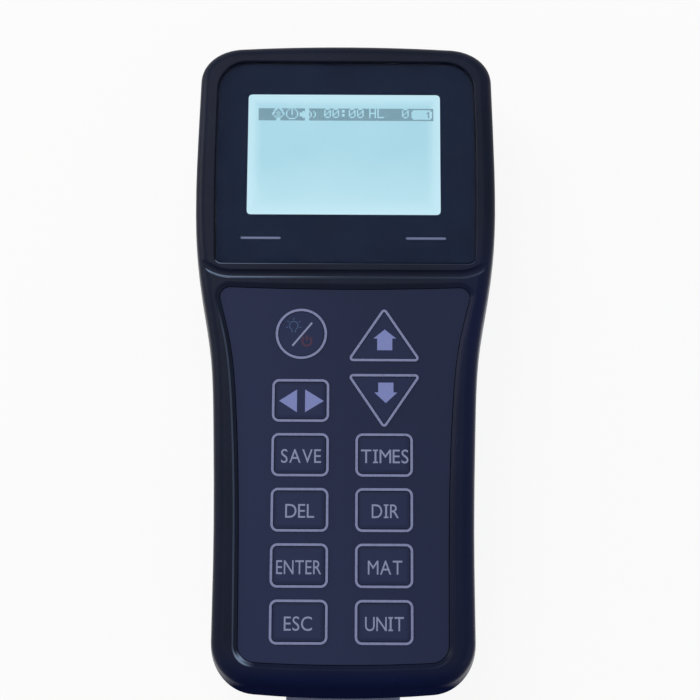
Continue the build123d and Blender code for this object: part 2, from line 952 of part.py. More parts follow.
def make_clock_holder():
    """Ring that clips the coin cell to the board."""
    y = groove_y + clock_rise
    low = board_under - clock_holder_base - clock_height / 2
    ring = cylinder(clock_radius + clock_holder_rim, low, board_under, clock_x, y)
    ring -= cylinder(clock_radius + socket_gap, low, board_under - clock_holder_base, clock_x, y)
    return ring


def make_clock_cell():
    """Coin cell that keeps the clock running, clipped in its ring."""
    y = groove_y + clock_rise
    top = board_under - clock_holder_base
    form = cylinder(clock_radius, top - clock_height, top, clock_x, y)
    return chamfer(form.faces().sort_by(Axis.Z)[0].edges(), clock_cell_edge)


def make_keypad_connector():
    """Connector on the board that takes the keypad's tail."""
    middle = tail_y + circuit_thick / 2
    half = tail_width / 2 + connector_rim
    form = block(
        -half, half, middle - connector_depth / 2, middle + connector_depth / 2, board_top,
        board_top + connector_height,
    )
    slot = circuit_thick / 2 + socket_gap
    form -= block(
        -tail_width / 2 - socket_gap, tail_width / 2 + socket_gap, middle - slot, middle + slot,
        board_top + connector_height / 2 - socket_gap, board_top + connector_height,
    )
    return form


def cell_base(side):
    """Place of a cell's flat end along the length: the left one points to the foot."""
    if side < 0:
        return bay_top - spring_room
    return bay_foot + spring_room


def make_cells():
    """Two round cells, the button of one beside the flat end of the other."""
    body = cell_length - cell_button
    cells = []
    for side in (-1, 1):
        base = cell_base(side)
        direction = side
        can = across(cell_radius, base, base + direction * body, side * cell_x, cell_z)
        button = across(
            cell_button_radius, base + direction * body, base + direction * cell_length,
            side * cell_x, cell_z,
        )
        can = fillet(can.edges().filter_by(GeomType.CIRCLE), cell_edge)
        cells.append(can + button)
    return group(cells)


def contact_sheet(x, wall_y, facing):
    """Sheet that stands on the end wall of the bay."""
    inner = wall_y + facing * contact_thick
    return block(
        x - contact_width / 2, x + contact_width / 2, min(wall_y, inner), max(wall_y, inner),
        cell_z - contact_width / 2, cell_z + contact_width / 2,
    )


def leaf_outline(wall_y, facing):
    """Outline of a bent leaf seen from the side, from the top of its sheet to its free end."""
    reach = spring_room - contact_slip
    root = contact_width / 2
    tail = -contact_width / 4
    steps = (
        (contact_thick, root),
        (reach, leaf_rise),
        (reach, -leaf_rise),
        (2 * contact_thick, tail - contact_thick),
        (2 * contact_thick, tail),
        (reach - contact_thick, contact_thick / 2 - leaf_rise),
        (reach - contact_thick, leaf_rise - contact_thick / 2),
        (contact_thick, root - 2 * contact_thick),
    )
    corners = [(wall_y + facing * y, cell_z + z) for y, z in steps]
    return make_face(Polyline(*corners, close=True))


def make_spring_contacts():
    """Leaf springs that press on the flat ends of the cells."""
    pieces = []
    for side in (-1, 1):
        wall_y = bay_top if side < 0 else bay_foot
        facing = -1 if side < 0 else 1
        start = side * cell_x - leaf_width / 2
        seen_from_side = Plane(origin=(start, 0, 0), x_dir=(0, 1, 0), z_dir=(1, 0, 0))
        leaf = extrude(seen_from_side * leaf_outline(wall_y, facing), leaf_width)
        pieces.append(contact_sheet(side * cell_x, wall_y, facing) + leaf)
    return group(pieces)


def make_plate_contacts():
    """Flat contacts, each with a boss for the button of a cell."""
    pieces = []
    for side in (-1, 1):
        wall_y = bay_foot if side < 0 else bay_top
        facing = 1 if side < 0 else -1
        boss = across(
            cell_button_radius, wall_y, wall_y + facing * (plate_room - contact_slip), side * cell_x, cell_z
        )
        pieces.append(contact_sheet(side * cell_x, wall_y, facing) + boss)
    return group(pieces)


def make_door():
    """Battery door with hooks at one end and a springy latch at the other."""
    form = plate(rounded_rectangle(door_half, door_foot, door_top, door_corner), door_sunk, door_inner)
    outer_edges = form.faces().sort_by(Axis.Z)[0].edges()
    form = chamfer(outer_edges, door_sunk)
    for side in (-1, 1):
        x_low = side * hook_x - hook_width / 2
        x_high = side * hook_x + hook_width / 2
        hook_under = door_inner + hook_gap
        hook_top = hook_under + hook_thick
        heel = door_top - hook_reach
        form += block(x_low, x_high, heel, door_top, door_inner, hook_top)
        form += block(x_low, x_high, heel, door_top + hook_reach, hook_under + hook_gap, hook_top)
    for side in (-1, 1):
        slit = side * (latch_width / 2 + latch_slot / 2)
        form -= block(
            slit - latch_slot / 2, slit + latch_slot / 2, door_foot, door_foot + latch_length, door_sunk,
            door_inner,
        )
    for n in range(grip_rib_count):
        y = door_foot + latch_length + (n + 2) * grip_rib_pitch
        end = Plane(origin=(-grip_rib_length / 2, y, door_sunk), z_dir=(1, 0, 0))
        form -= extrude(end * Circle(grip_rib_radius), grip_rib_length)
    return form


def screw(radius, head_radius, head, base, tip, x, y):
    """Screw with its head below, pointing up, with a round drive recess."""
    form = cylinder(head_radius, base - head, base, x, y) + cylinder(radius, base, tip, x, y)
    return form - cylinder(recess_drive_radius, base - head, base - head + recess_drive_depth, x, y)


def make_case_screws():
    """Screws up through the rear half into the front half's bosses."""
    tip = parting_height + case_screw_bite
    return group(
        screw(case_screw_radius, case_screw_head_radius, case_screw_head, case_screw_seat, tip, x, y)
        for x, y in case_screw_places()
    )


def make_probe_socket():
    """Round socket: flange, body and open bore for the plug."""
    form = across(socket_flange_radius, socket_seat_y, socket_face_y, 0, socket_height)
    form = chamfer(form.faces().sort_by(Axis.Y)[-1].edges(), socket_edge)
    depth = socket_bore_depth + socket_insert_length
    form += across(socket_body_radius, socket_face_y - depth, socket_seat_y, 0, socket_height)
    shoulder_y = socket_face_y - socket_bore_depth
    form -= across(socket_bore_radius, shoulder_y, socket_face_y, 0, socket_height)
    form -= across(socket_core_radius, socket_face_y - depth, shoulder_y, 0, socket_height)
    return form


def contact_places():
    """Places of the socket's contacts across its bore."""
    spots = []
    for n in range(contact_count):
        turn = math.radians(contact_turn + 360 * n / contact_count)
        spots.append((contact_circle * math.cos(turn), socket_height + contact_circle * math.sin(turn)))
    return spots


def make_probe_insert():
    """Moulded core of the socket, bored for its contacts."""
    face_y = socket_face_y - socket_bore_depth
    back_y = face_y - socket_insert_length
    form = across(socket_core_radius, back_y, face_y, 0, socket_height)
    for x, z in contact_places():
        form -= across(contact_radius, back_y, face_y, x, z)
    return form


def make_probe_contacts():
    """Female contacts in the core, their solder ends behind it."""
    face_y = socket_face_y - socket_bore_depth
    back_y = face_y - socket_insert_length
    pieces = []
    for x, z in contact_places():
        tube = across(contact_radius, back_y - contact_tail, face_y - contact_slip, x, z)
        tube -= across(contact_bore, face_y - socket_insert_length / 2, face_y, x, z)
        pieces.append(tube)
    return group(pieces)


def make_probe_nut():
    """Hexagon nut behind the wall."""
    hexagon = RegularPolygon(socket_nut_radius, 6) - Circle(socket_body_radius)
    standing = Plane(origin=(0, socket_pad_y, socket_height), z_dir=(0, -1, 0))
    return extrude(standing * hexagon, socket_nut)


def make_port_shell():
    """Folded metal sleeve of the data port, under the board."""
    corner = port_height / 2 - fillet_slack
    back_y = port_face_y + port_depth
    form = end_plate(port_width, port_height, corner, port_face_y, back_y, port_z)
    form -= end_plate(
        port_width - 2 * port_shell, port_height - 2 * port_shell, corner - port_shell, port_face_y,
        back_y - port_shell, port_z,
    )
    return form


def make_port_tongue():
    """Moulded tongue inside the data port."""
    base_y = port_face_y + port_depth - port_shell
    root = end_plate(
        port_width - 2 * port_shell, port_height - 2 * port_shell,
        port_height / 2 - fillet_slack - port_shell, base_y - port_root, base_y, port_z,
    )
    tongue = block(
        -port_tongue_width / 2, port_tongue_width / 2, port_face_y + port_shell, base_y,
        port_z - port_tongue / 2, port_z + port_tongue / 2,
    )
    return root + tongue


def make_port_cover():
    """Soft cover over the port: plate and plug."""
    middle = (cover_base + cover_top) / 2
    outer_y = foot_y - port_cover_proud
    inner_y = cover_seat_y - cover_seat_gap
    form = end_plate(cover_width, cover_height, cover_corner, outer_y, inner_y, middle)
    form = fillet(form.faces().sort_by(Axis.Y)[0].edges(), cover_edge)
    form += end_plate(
        port_width - 2 * cover_plug_inset, port_height - 2 * cover_plug_inset,
        port_height / 2 - cover_plug_inset - fillet_slack, cover_seat_y - cover_seat_gap,
        cover_seat_y + cover_plug - cover_seat_gap, port_z,
    )
    return form


save("front_shell", make_front_shell())
save("rear_shell", make_rear_shell())
save("case_gasket", make_gasket())
save("case_screws", make_case_screws())
save("display_window", make_window())
save("window_mask", make_mask())
save("display_glass", make_display_glass())
save("display_light_guide", make_light_guide())
save("display_frame", make_display_frame())
save("display_pins", make_display_pins())
save("keypad_overlay", make_overlay())
save("keypad_spacer", make_spacer())
save("keypad_circuit", make_circuit())
save("keypad_domes", make_domes())
save("keypad_connector", make_keypad_connector())
for key_kind in key_kinds:
    save("key_" + key_kind, make_key(key_kind))
save("main_board", make_board())
save("board_screws", make_board_screws())
save("processor_chip", make_chip(processor_size, processor_size, processor_x, processor_rise))
save("memory_chip", make_chip(memory_width, memory_depth, memory_x, memory_rise))
save("amplifier_chip", make_chip(amplifier_width, amplifier_depth, amplifier_x, amplifier_rise))
save("buzzer", make_buzzer())
save("clock_cell_holder", make_clock_holder())
save("clock_cell", make_clock_cell())
save("battery_cells", make_cells())
save("battery_springs", make_spring_contacts())
save("battery_plates", make_plate_contacts())
save("battery_door", make_door())
save("socket_plate", make_socket_plate())
save("probe_socket", make_probe_socket())
save("probe_insert", make_probe_insert())
save("probe_contacts", make_probe_contacts())
save("probe_nut", make_probe_nut())
save("port_shell", make_port_shell())
save("port_tongue", make_port_tongue())
save("port_cover", make_port_cover())
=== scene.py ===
"""Handheld hardness tester: finishes, printed detail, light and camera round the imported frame."""

import logging
import math
from dataclasses import dataclass
from enum import Enum
from functools import cache

import bmesh
import bpy
from mathutils import Matrix, Vector


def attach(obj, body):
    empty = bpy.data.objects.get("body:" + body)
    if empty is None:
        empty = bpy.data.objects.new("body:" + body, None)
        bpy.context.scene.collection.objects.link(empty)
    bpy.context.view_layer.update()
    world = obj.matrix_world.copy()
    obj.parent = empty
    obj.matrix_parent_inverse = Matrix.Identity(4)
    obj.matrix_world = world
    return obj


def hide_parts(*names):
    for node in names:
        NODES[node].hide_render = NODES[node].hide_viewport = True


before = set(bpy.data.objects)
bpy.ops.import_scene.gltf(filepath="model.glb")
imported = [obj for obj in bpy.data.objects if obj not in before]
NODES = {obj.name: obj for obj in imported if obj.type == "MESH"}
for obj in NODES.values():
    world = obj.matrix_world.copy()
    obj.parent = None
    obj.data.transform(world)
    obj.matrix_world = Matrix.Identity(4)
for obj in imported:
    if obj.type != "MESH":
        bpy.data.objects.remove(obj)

logging.basicConfig(level=logging.INFO, format="%(message)s")
LOG = logging.getLogger("tester")

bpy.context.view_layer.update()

Colour = tuple[float, float, float]
Point = tuple[float, float]
Place = tuple[float, float, float]
Points = tuple[Point, ...]
Socket = bpy.types.NodeSocket
Material = bpy.types.Material
Mesh = bpy.types.Mesh

MM = 0.001
PER_METRE = 1000.0
HOUSING = "housing"
FRONT_SHIFT = 1.3
GROOVE_Y = 23.2
FOOT_Y = -90.5
KEY_TOP = 37.3
PRINT_THICK = 0.02
DISPLAY_TOP = 35.97
TYPE_HALF = 0.5


def srgb(red: float, green: float, blue: float) -> Colour:
    """Turns a colour in 0 to 255 steps into a linear one.

    Args:
        red: Red as it shows on a screen.
        green: Green as it shows on a screen.
        blue: Blue as it shows on a screen.

    Returns:
        The linear colour.
    """

    def linear(value: float) -> float:
        """Straightens one channel."""
        share = value / 255.0
        return share / 12.92 if share <= 0.04045 else ((share + 0.055) / 1.055) ** 2.4

    return linear(red), linear(green), linear(blue)


class Tree:
    """Node tree of a material or of the world."""

    def __init__(self, tree: bpy.types.NodeTree) -> None:
        """Takes a tree over as it stands."""
        self.tree = tree

    def node(self, kind: str, **settings: object) -> bpy.types.Node:
        """Adds a node.

        Args:
            kind: Type of the node.
            settings: Properties to set on it.

        Returns:
            The node.
        """
        made = self.tree.nodes.new(kind)
        for key, value in settings.items():
            setattr(made, key, value)
        return made

    def feed(self, socket: Socket, value: object) -> None:
        """Links a socket's source, or sets its constant.

        Args:
            socket: Input to fill.
            value: Output socket, number or colour.
        """
        if isinstance(value, Socket):
            self.tree.links.new(value, socket)
        elif isinstance(value, tuple) and len(value) == 3 and socket.type == "RGBA":
            socket.default_value = (*value, 1.0)
        else:
            socket.default_value = value

    def math(self, operation: str, first: object, second: object = 0.0) -> Socket:
        """Adds a Math node.

        Args:
            operation: What it works out.
            first: First value.
            second: Second value.

        Returns:
            The result.
        """
        made = self.node("ShaderNodeMath", operation=operation)
        self.feed(made.inputs[0], first)
        self.feed(made.inputs[1], second)
        return made.outputs[0]

    def times(self, first: object, second: object) -> Socket:
        """Multiplies two values."""
        return self.math("MULTIPLY", first, second)

    def plus(self, first: object, second: object) -> Socket:
        """Adds two values."""
        return self.math("ADD", first, second)

    def less(self, first: object, second: object) -> Socket:
        """Takes the second value from the first."""
        return self.math("SUBTRACT", first, second)

    def higher(self, first: object, second: object) -> Socket:
        """Gives the higher of two values."""
        return self.math("MAXIMUM", first, second)

    def mixed(self, share: Socket, first: Socket, second: Socket) -> Socket:
        """Mixes two surfaces.

        Args:
            share: Share of the second.
            first: Surface at 0.
            second: Surface at 1.

        Returns:
            The mixed surface.
        """
        made = self.node("ShaderNodeMixShader")
        for at, value in enumerate((share, first, second)):
            self.feed(made.inputs[at], value)
        return made.outputs[0]

    def background_rays(self) -> Socket:
        """Gives 1 for rays that show the background: seen, mirrored or passed through.

        Returns:
            The share.
        """
        path = self.node("ShaderNodeLightPath").outputs
        mirrored = self.higher(path["Is Glossy Ray"], path["Is Transmission Ray"])
        return self.higher(path["Is Camera Ray"], mirrored)


class Shader(Tree):
    """Node tree of one material that reads object coordinates in millimetres."""

    def __init__(self, name: str) -> None:
        """Starts the material with a principled surface.

        Args:
            name: Name of the material.
        """
        self.material = bpy.data.materials.new(name)
        self.material.use_nodes = True
        super().__init__(self.material.node_tree)
        self.tree.nodes.clear()
        self.output = self.node("ShaderNodeOutputMaterial")
        self.surface = self.node("ShaderNodeBsdfPrincipled")
        self.feed(self.output.inputs["Surface"], self.surface.outputs["BSDF"])
        coordinates = self.node("ShaderNodeTexCoord")
        self.place = self.scaled(coordinates.outputs["Object"], (PER_METRE,) * 3)
        self.parts = None

    def scaled(self, source: Socket, factors: Place) -> Socket:
        """Scales coordinates by a factor for each axis.

        Args:
            source: Coordinates.
            factors: Factor for each axis.

        Returns:
            The new coordinates.
        """
        mapping = self.node("ShaderNodeMapping")
        mapping.inputs["Scale"].default_value = factors
        self.feed(mapping.inputs["Vector"], source)
        return mapping.outputs["Vector"]

    def noise(
        self, per_mm: float, detail: float = 3.0, rough: float = 0.5, place: Socket | None = None
    ) -> Socket:
        """Adds a cloudy pattern.

        Args:
            per_mm: Lumps in each millimetre.
            detail: Octaves.
            rough: Strength of the finer octaves.
            place: Coordinates, the piece's own if left out.

        Returns:
            The pattern, from 0 to 1.
        """
        made = self.node("ShaderNodeTexNoise")
        self.feed(made.inputs["Vector"], self.scaled(place or self.place, (per_mm,) * 3))
        made.inputs["Scale"].default_value = 1.0
        made.inputs["Detail"].default_value = detail
        made.inputs["Roughness"].default_value = rough
        return made.outputs["Fac"]

    def cells(self, per_mm: float) -> Socket:
        """Adds a pattern of cells.

        Args:
            per_mm: Cells in each millimetre.

        Returns:
            Distance from the middle of the cell.
        """
        made = self.node("ShaderNodeTexVoronoi", feature="F1")
        self.feed(made.inputs["Vector"], self.scaled(self.place, (per_mm,) * 3))
        made.inputs["Scale"].default_value = 1.0
        return made.outputs["Distance"]

    def axis(self, name: str) -> Socket:
        """Gives one coordinate in millimetres.

        Args:
            name: X, Y or Z.

        Returns:
            The coordinate.
        """
        if self.parts is None:
            self.parts = self.node("ShaderNodeSeparateXYZ")
            self.feed(self.parts.inputs["Vector"], self.place)
        return self.parts.outputs[name]

    def fade(self, value: object, start: float, end: float) -> Socket:
        """Goes from 0 at start to 1 at end, with soft ends.

        Args:
            value: What is read.
            start: Value that gives 0.
            end: Value that gives 1.

        Returns:
            The share.
        """
        made = self.node("ShaderNodeMapRange", interpolation_type="SMOOTHSTEP")
        self.feed(made.inputs["Value"], value)
        made.inputs["From Min"].default_value = start
        made.inputs["From Max"].default_value = end
        return made.outputs["Result"]

    def band(self, value: object, low: float, high: float, soft: float) -> Socket:
        """Gives 1 between two values and 0 outside them.

        Args:
            value: What is read.
            low: Lower edge.
            high: Upper edge.
            soft: Width over which it fades.

        Returns:
            The share.
        """
        rising = self.fade(value, low - soft, low + soft)
        falling = self.fade(value, high + soft, high - soft)
        return self.times(rising, falling)

    def blend(self, share: object, first: object, second: object) -> Socket:
        """Mixes two colours.

        Args:
            share: Share of the second.
            first: Colour or socket at 0.
            second: Colour or socket at 1.

        Returns:
            The mixed colour.
        """
        made = self.node("ShaderNodeMix", data_type="RGBA")
        for key, value in (("Factor", share), ("A", first), ("B", second)):
            self.feed(made.inputs[key], value)
        return made.outputs[2]

    def relief(self, height: object, depth: float) -> None:
        """Raises the surface by a pattern.

        Args:
            height: Pattern from 0 to 1.
            depth: Height of the relief in millimetres.
        """
        made = self.node("ShaderNodeBump")
        made.inputs["Strength"].default_value = 1.0
        made.inputs["Distance"].default_value = depth * MM
        self.feed(made.inputs["Height"], height)
        self.feed(self.surface.inputs["Normal"], made.outputs["Normal"])

    def constant(self, **values: object) -> None:
        """Sets the principled surface's constants.

        Args:
            values: Input name, with underscores for spaces, and its value.
        """
        for key, value in values.items():
            self.feed(self.surface.inputs[key.replace("_", " ")], value)


class Finish:
    """Surface that a material gets."""

    def build(self, name: str) -> Material:
        """Makes the material.

        Args:
            name: Name of the material.

        Returns:
            The material.
        """
        tree = Shader(name)
        self.paint(tree)
        return tree.material

    def paint(self, tree: Shader) -> None:
        """Leaves the surface plain, where a finish doesn't lay its own."""


@dataclass(frozen=True)
class MouldedPlastic(Finish):
    """Matte moulded plastic: a fine mould grain, faint clouds and rubbed places, with a painted cool
    shade and a painted highlight where their colours are given.
    """

    base: Colour
    shade: Colour
    rubbed: Colour
    # Painted cool shade: a darker, bluer tone laid towards the right side and the foot.
    painted_cool_shade: Colour | None = None
    # Painted highlight: a light tone on the groove's lower wall and the recess's left crest.
    painted_highlight: Colour | None = None
    roughness: float = 0.3
    level: float = 0.06
    grain_size: float = 0.4
    grain_depth: float = 0.008
    rub_share: float = 0.3
    dull_foot: Point = (FOOT_Y + 3.0, FOOT_Y + 10.0)
    # Where the painted cool shade lies: its most share, the right side lower down, and the foot.
    cool_most: float = 0.75
    cool_right: Point = (24.0, 38.0)
    cool_below: Point = (40.0, 10.0)
    cool_foot: Point = (FOOT_Y + 14.5, FOOT_Y + 2.5)
    # Where the painted highlight lies: its height, least share, the groove wall, and the recess's left
    # crest and lower left corner.
    highlight_high: Point = (34.6, 35.6)
    least_highlight: float = 0.2
    wall_facing: Point = (0.45, 0.75)
    wall_span: Point = (GROOVE_Y - 1.6, GROOVE_Y + 5.0)
    wall_run: Point = (5.0, -40.0)
    crest_facing: Point = (0.12, 0.5)
    crest_left: Point = (-18.0, -24.0)
    crest_start: Point = (16.0, 6.0)
    crest_corner: Point = (-68.0, -76.0)

    def paint(self, tree: Shader) -> None:
        """Lays the finish.

        Args:
            tree: What gets the nodes.
        """
        grain = tree.noise(1.0 / self.grain_size, 2.0)
        cloud = tree.fade(tree.noise(0.05, 4.0, 0.6), 0.35, 0.65)
        rub = tree.fade(tree.noise(0.22, 6.0, 0.68), 0.6, 0.78)
        tone = tree.blend(cloud, self.base, self.shade)
        # Painted cool shade towards the right side and the foot.
        if self.painted_cool_shade is not None:
            tone = tree.blend(self.cool_shade_share(tree), tone, self.painted_cool_shade)
        tone = tree.blend(tree.times(rub, self.rub_share), tone, self.rubbed)
        # Painted highlight on the groove's lower wall and on the recess's left crest and lower left
        # corner.
        if self.painted_highlight is not None:
            tone = tree.blend(self.painted_highlight_share(tree), tone, self.painted_highlight)
        matte = tree.plus(self.roughness, tree.times(grain, 0.1))
        matte = tree.less(matte, tree.times(rub, 0.1))
        level = tree.times(self.level, tree.fade(tree.axis("Y"), *self.dull_foot))
        tree.constant(Base_Color=tone, Roughness=matte, Specular_IOR_Level=level)
        tree.relief(grain, self.grain_depth)

    def cool_shade_share(self, tree: Shader) -> Socket:
        """Gives the share of the painted cool shade, darker and bluer towards the right side and the
        foot.

        Args:
            tree: What gets the nodes.

        Returns:
            The share.
        """
        right = tree.fade(tree.axis("X"), *self.cool_right)
        below = tree.fade(tree.axis("Y"), *self.cool_below)
        foot = tree.fade(tree.axis("Y"), *self.cool_foot)
        return tree.times(tree.higher(tree.times(right, below), foot), self.cool_most)

    def painted_highlight_share(self, tree: Shader) -> Socket:
        """Gives the share of painted highlight on the groove's lower wall and on the recess's left crest.

        Args:
            tree: What gets the nodes.

        Returns:
            The share.
        """
        facing = tree.node("ShaderNodeSeparateXYZ")
        tree.feed(facing.inputs[0], tree.node("ShaderNodeNewGeometry").outputs["Normal"])
        wall = tree.band(facing.outputs["Y"], *self.wall_facing, 0.1)
        near = tree.band(tree.axis("Y"), *self.wall_span, 0.3)
        along = tree.fade(tree.axis("X"), *self.wall_run)
        groove = tree.times(tree.times(wall, near), self.highlight_part(tree, along))
        inward = tree.band(facing.outputs["X"], *self.crest_facing, 0.08)
        left = tree.fade(tree.axis("X"), *self.crest_left)
        grip = tree.fade(tree.axis("Y"), *self.crest_start)
        upward = tree.band(facing.outputs["Y"], *self.crest_facing, 0.08)
        corner = tree.times(upward, tree.fade(tree.axis("Y"), *self.crest_corner))
        crest = tree.times(tree.times(inward, left), grip)
        crest = tree.times(crest, self.highlight_part(tree, corner))
        high = tree.fade(tree.axis("Z"), *self.highlight_high)
        return tree.times(tree.higher(groove, crest), high)

    def highlight_part(self, tree: Shader, share: Socket) -> Socket:
        """Raises a share so that the least painted highlight stays everywhere."""
        return tree.plus(self.least_highlight, tree.times(share, 1.0 - self.least_highlight))


@dataclass(frozen=True)
class PrintedFilm(Finish):
    """Printed polyester film with a fine matte tooth and lighter raised rims, painted lighter at the
    upper left and darker at the lower right as shade.
    """

    # The film runs from the left colour to the right one as painted shade; both colours also give its
    # random specks and stains.
    left: Colour
    right: Colour
    line: Colour
    rim_level: float
    keys: "KeyGrid | None" = None
    roughness: float = 0.5
    level: float = 0.08

    def paint(self, tree: Shader) -> None:
        """Lays the finish.

        Args:
            tree: What gets the nodes.
        """
        # Painted shade: lighter towards the upper left, darker towards the lower right.
        across = tree.plus(tree.axis("X"), tree.times(tree.axis("Y"), 0.35))
        film = tree.blend(tree.fade(across, -45.0, 30.0), self.left, self.right)
        tooth = tree.noise(4.5, 2.0)
        cloud = tree.noise(0.12, 5.0, 0.6)
        speck = tree.fade(tooth, 0.35, 0.7)
        film = tree.blend(tree.times(speck, 0.35), film, self.right)
        stain = tree.times(tree.fade(cloud, 0.45, 0.75), 0.25)
        film = tree.blend(stain, film, self.left)
        rim = tree.fade(tree.axis("Z"), self.rim_level - 0.04, self.rim_level + 0.04)
        thin = tree.times(tree.fade(tree.noise(1.3, 4.0), 0.45, 0.75), 0.2)
        worn = tree.less(rim, tree.times(rim, thin))
        film = tree.blend(worn, film, self.line)
        matte = tree.plus(self.roughness, tree.times(cloud, 0.12))
        if self.keys is None:
            tree.relief(tooth, 0.006)
        else:
            # Painted shade: each key's slope down to its rim darkens towards the grid's edge colour,
            # besides the relief.
            pillow = self.keys.pillow(tree)
            dim = tree.times(tree.less(1.0, pillow), self.keys.slope_shade)
            film = tree.blend(dim, film, self.keys.edge)
            tree.relief(tree.plus(pillow, tree.times(tooth, 0.06)), 0.1)
        tree.constant(Base_Color=film, Roughness=matte, Specular_IOR_Level=self.level)


@dataclass(frozen=True)
class KeyGrid:
    """Lattice of the rectangular keys, whose fields rise to a flat pillow inside the rim, with painted
    shade down the slope to the rim.
    """

    # Colour of the painted shade on a key's slope down to its rim.
    edge: Colour
    middle_x: float = -0.56
    column_pitch: float = 22.5
    row_pitch: float = 14.75
    last_row: float = -70.9
    word_rows: float = 3.5
    half_width: float = 7.02
    half_height: float = 5.18
    slope: float = 1.5
    slope_shade: float = 0.45

    def pillow(self, tree: Shader) -> Socket:
        """Gives 1 on a key's raised field and less down its slope to the rim.

        Args:
            tree: What gets the nodes.

        Returns:
            The share.
        """
        off = tree.math("ABSOLUTE", tree.less(tree.axis("X"), self.middle_x))
        across = tree.math("ABSOLUTE", tree.less(off, self.column_pitch / 2))
        start = self.last_row - self.row_pitch / 2
        rows = tree.math("DIVIDE", tree.less(tree.axis("Y"), start), self.row_pitch)
        off = tree.math("ABSOLUTE", tree.less(tree.math("FRACT", rows), 0.5))
        along = tree.times(off, self.row_pitch)
        side = tree.less(self.half_width, across)
        end = tree.less(self.half_height, along)
        raised = tree.fade(tree.math("MINIMUM", side, end), 0.1, self.slope)
        top = self.last_row + self.word_rows * self.row_pitch
        right = tree.fade(tree.axis("X"), self.middle_x - 0.1, self.middle_x + 0.1)
        limit = tree.plus(top, tree.times(tree.less(1.0, right), self.row_pitch))
        signs = tree.math("GREATER_THAN", tree.axis("Y"), limit)
        return tree.higher(raised, signs)


@dataclass(frozen=True)
class PrintInk(Finish):
    """Screen-printed ink: nearly even, with a slight mottle and a soft tooth."""

    base: Colour
    thin: Colour
    roughness: float = 0.55

    def paint(self, tree: Shader) -> None:
        """Lays the finish.

        Args:
            tree: What gets the nodes.
        """
        mottle = tree.noise(3.0, 4.0, 0.6)
        tone = tree.blend(tree.fade(mottle, 0.4, 0.8), self.base, self.thin)
        matte = tree.plus(self.roughness, tree.times(mottle, 0.1))
        tree.constant(Base_Color=tone, Roughness=matte, Specular_IOR_Level=0.2)
        tree.relief(mottle, 0.004)


@dataclass(frozen=True)
class ClearWindow(Finish):
    """Clear acrylic: what lies behind shows through, with faint smears in its gloss."""

    tint: Colour = (0.96, 0.975, 0.98)
    gloss: float = 0.05
    ior: float = 1.49
    roughness: float = 0.05

    def paint(self, tree: Shader) -> None:
        """Lays the finish.

        Args:
            tree: What gets the nodes.
        """
        tree.tree.nodes.remove(tree.surface)
        clear = tree.node("ShaderNodeBsdfTransparent")
        clear.inputs["Color"].default_value = (*self.tint, 1.0)
        shine = tree.node("ShaderNodeBsdfGlossy")
        smear = tree.fade(tree.noise(0.09, 5.0, 0.7), 0.35, 0.8)
        matte = tree.plus(self.roughness, tree.times(smear, 0.16))
        tree.feed(shine.inputs["Roughness"], matte)
        angle = tree.node("ShaderNodeFresnel")
        angle.inputs["IOR"].default_value = self.ior
        inside = tree.node("ShaderNodeNewGeometry").outputs["Backfacing"]
        outer = tree.times(tree.less(1.0, inside), self.gloss)
        share = tree.times(angle.outputs["Fac"], outer)
        both = tree.mixed(share, clear.outputs[0], shine.outputs[0])
        tree.feed(tree.output.inputs["Surface"], both)


@dataclass(frozen=True)
class MaskInk(Finish):
    """Dark ink behind the window, with two short light rules printed below the view."""

    base: Colour
    shade: Colour
    rule: Colour
    rule_y: float = 32.45 + FRONT_SHIFT
    rule_half: float = 0.3
    rules: tuple[Point, Point] = ((-28.8, -17.9), (16.8, 27.7))

    def paint(self, tree: Shader) -> None:
        """Lays the finish.

        Args:
            tree: What gets the nodes.
        """
        cloud = tree.noise(0.08, 4.0, 0.6)
        tone = tree.blend(tree.fade(cloud, 0.3, 0.7), self.base, self.shade)
        low, high = self.rule_y - self.rule_half, self.rule_y + self.rule_half
        level = tree.band(tree.axis("Y"), low, high, 0.05)
        length = None
        for low, high in self.rules:
            one = tree.band(tree.axis("X"), low, high, 0.1)
            length = one if length is None else tree.higher(length, one)
        tone = tree.blend(tree.times(level, length), tone, self.rule)
        fine = tree.noise(5.0, 2.0)
        matte = tree.plus(0.5, tree.times(fine, 0.1))
        tree.constant(Base_Color=tone, Roughness=matte, Specular_IOR_Level=0.02)
        tree.relief(fine, 0.003)


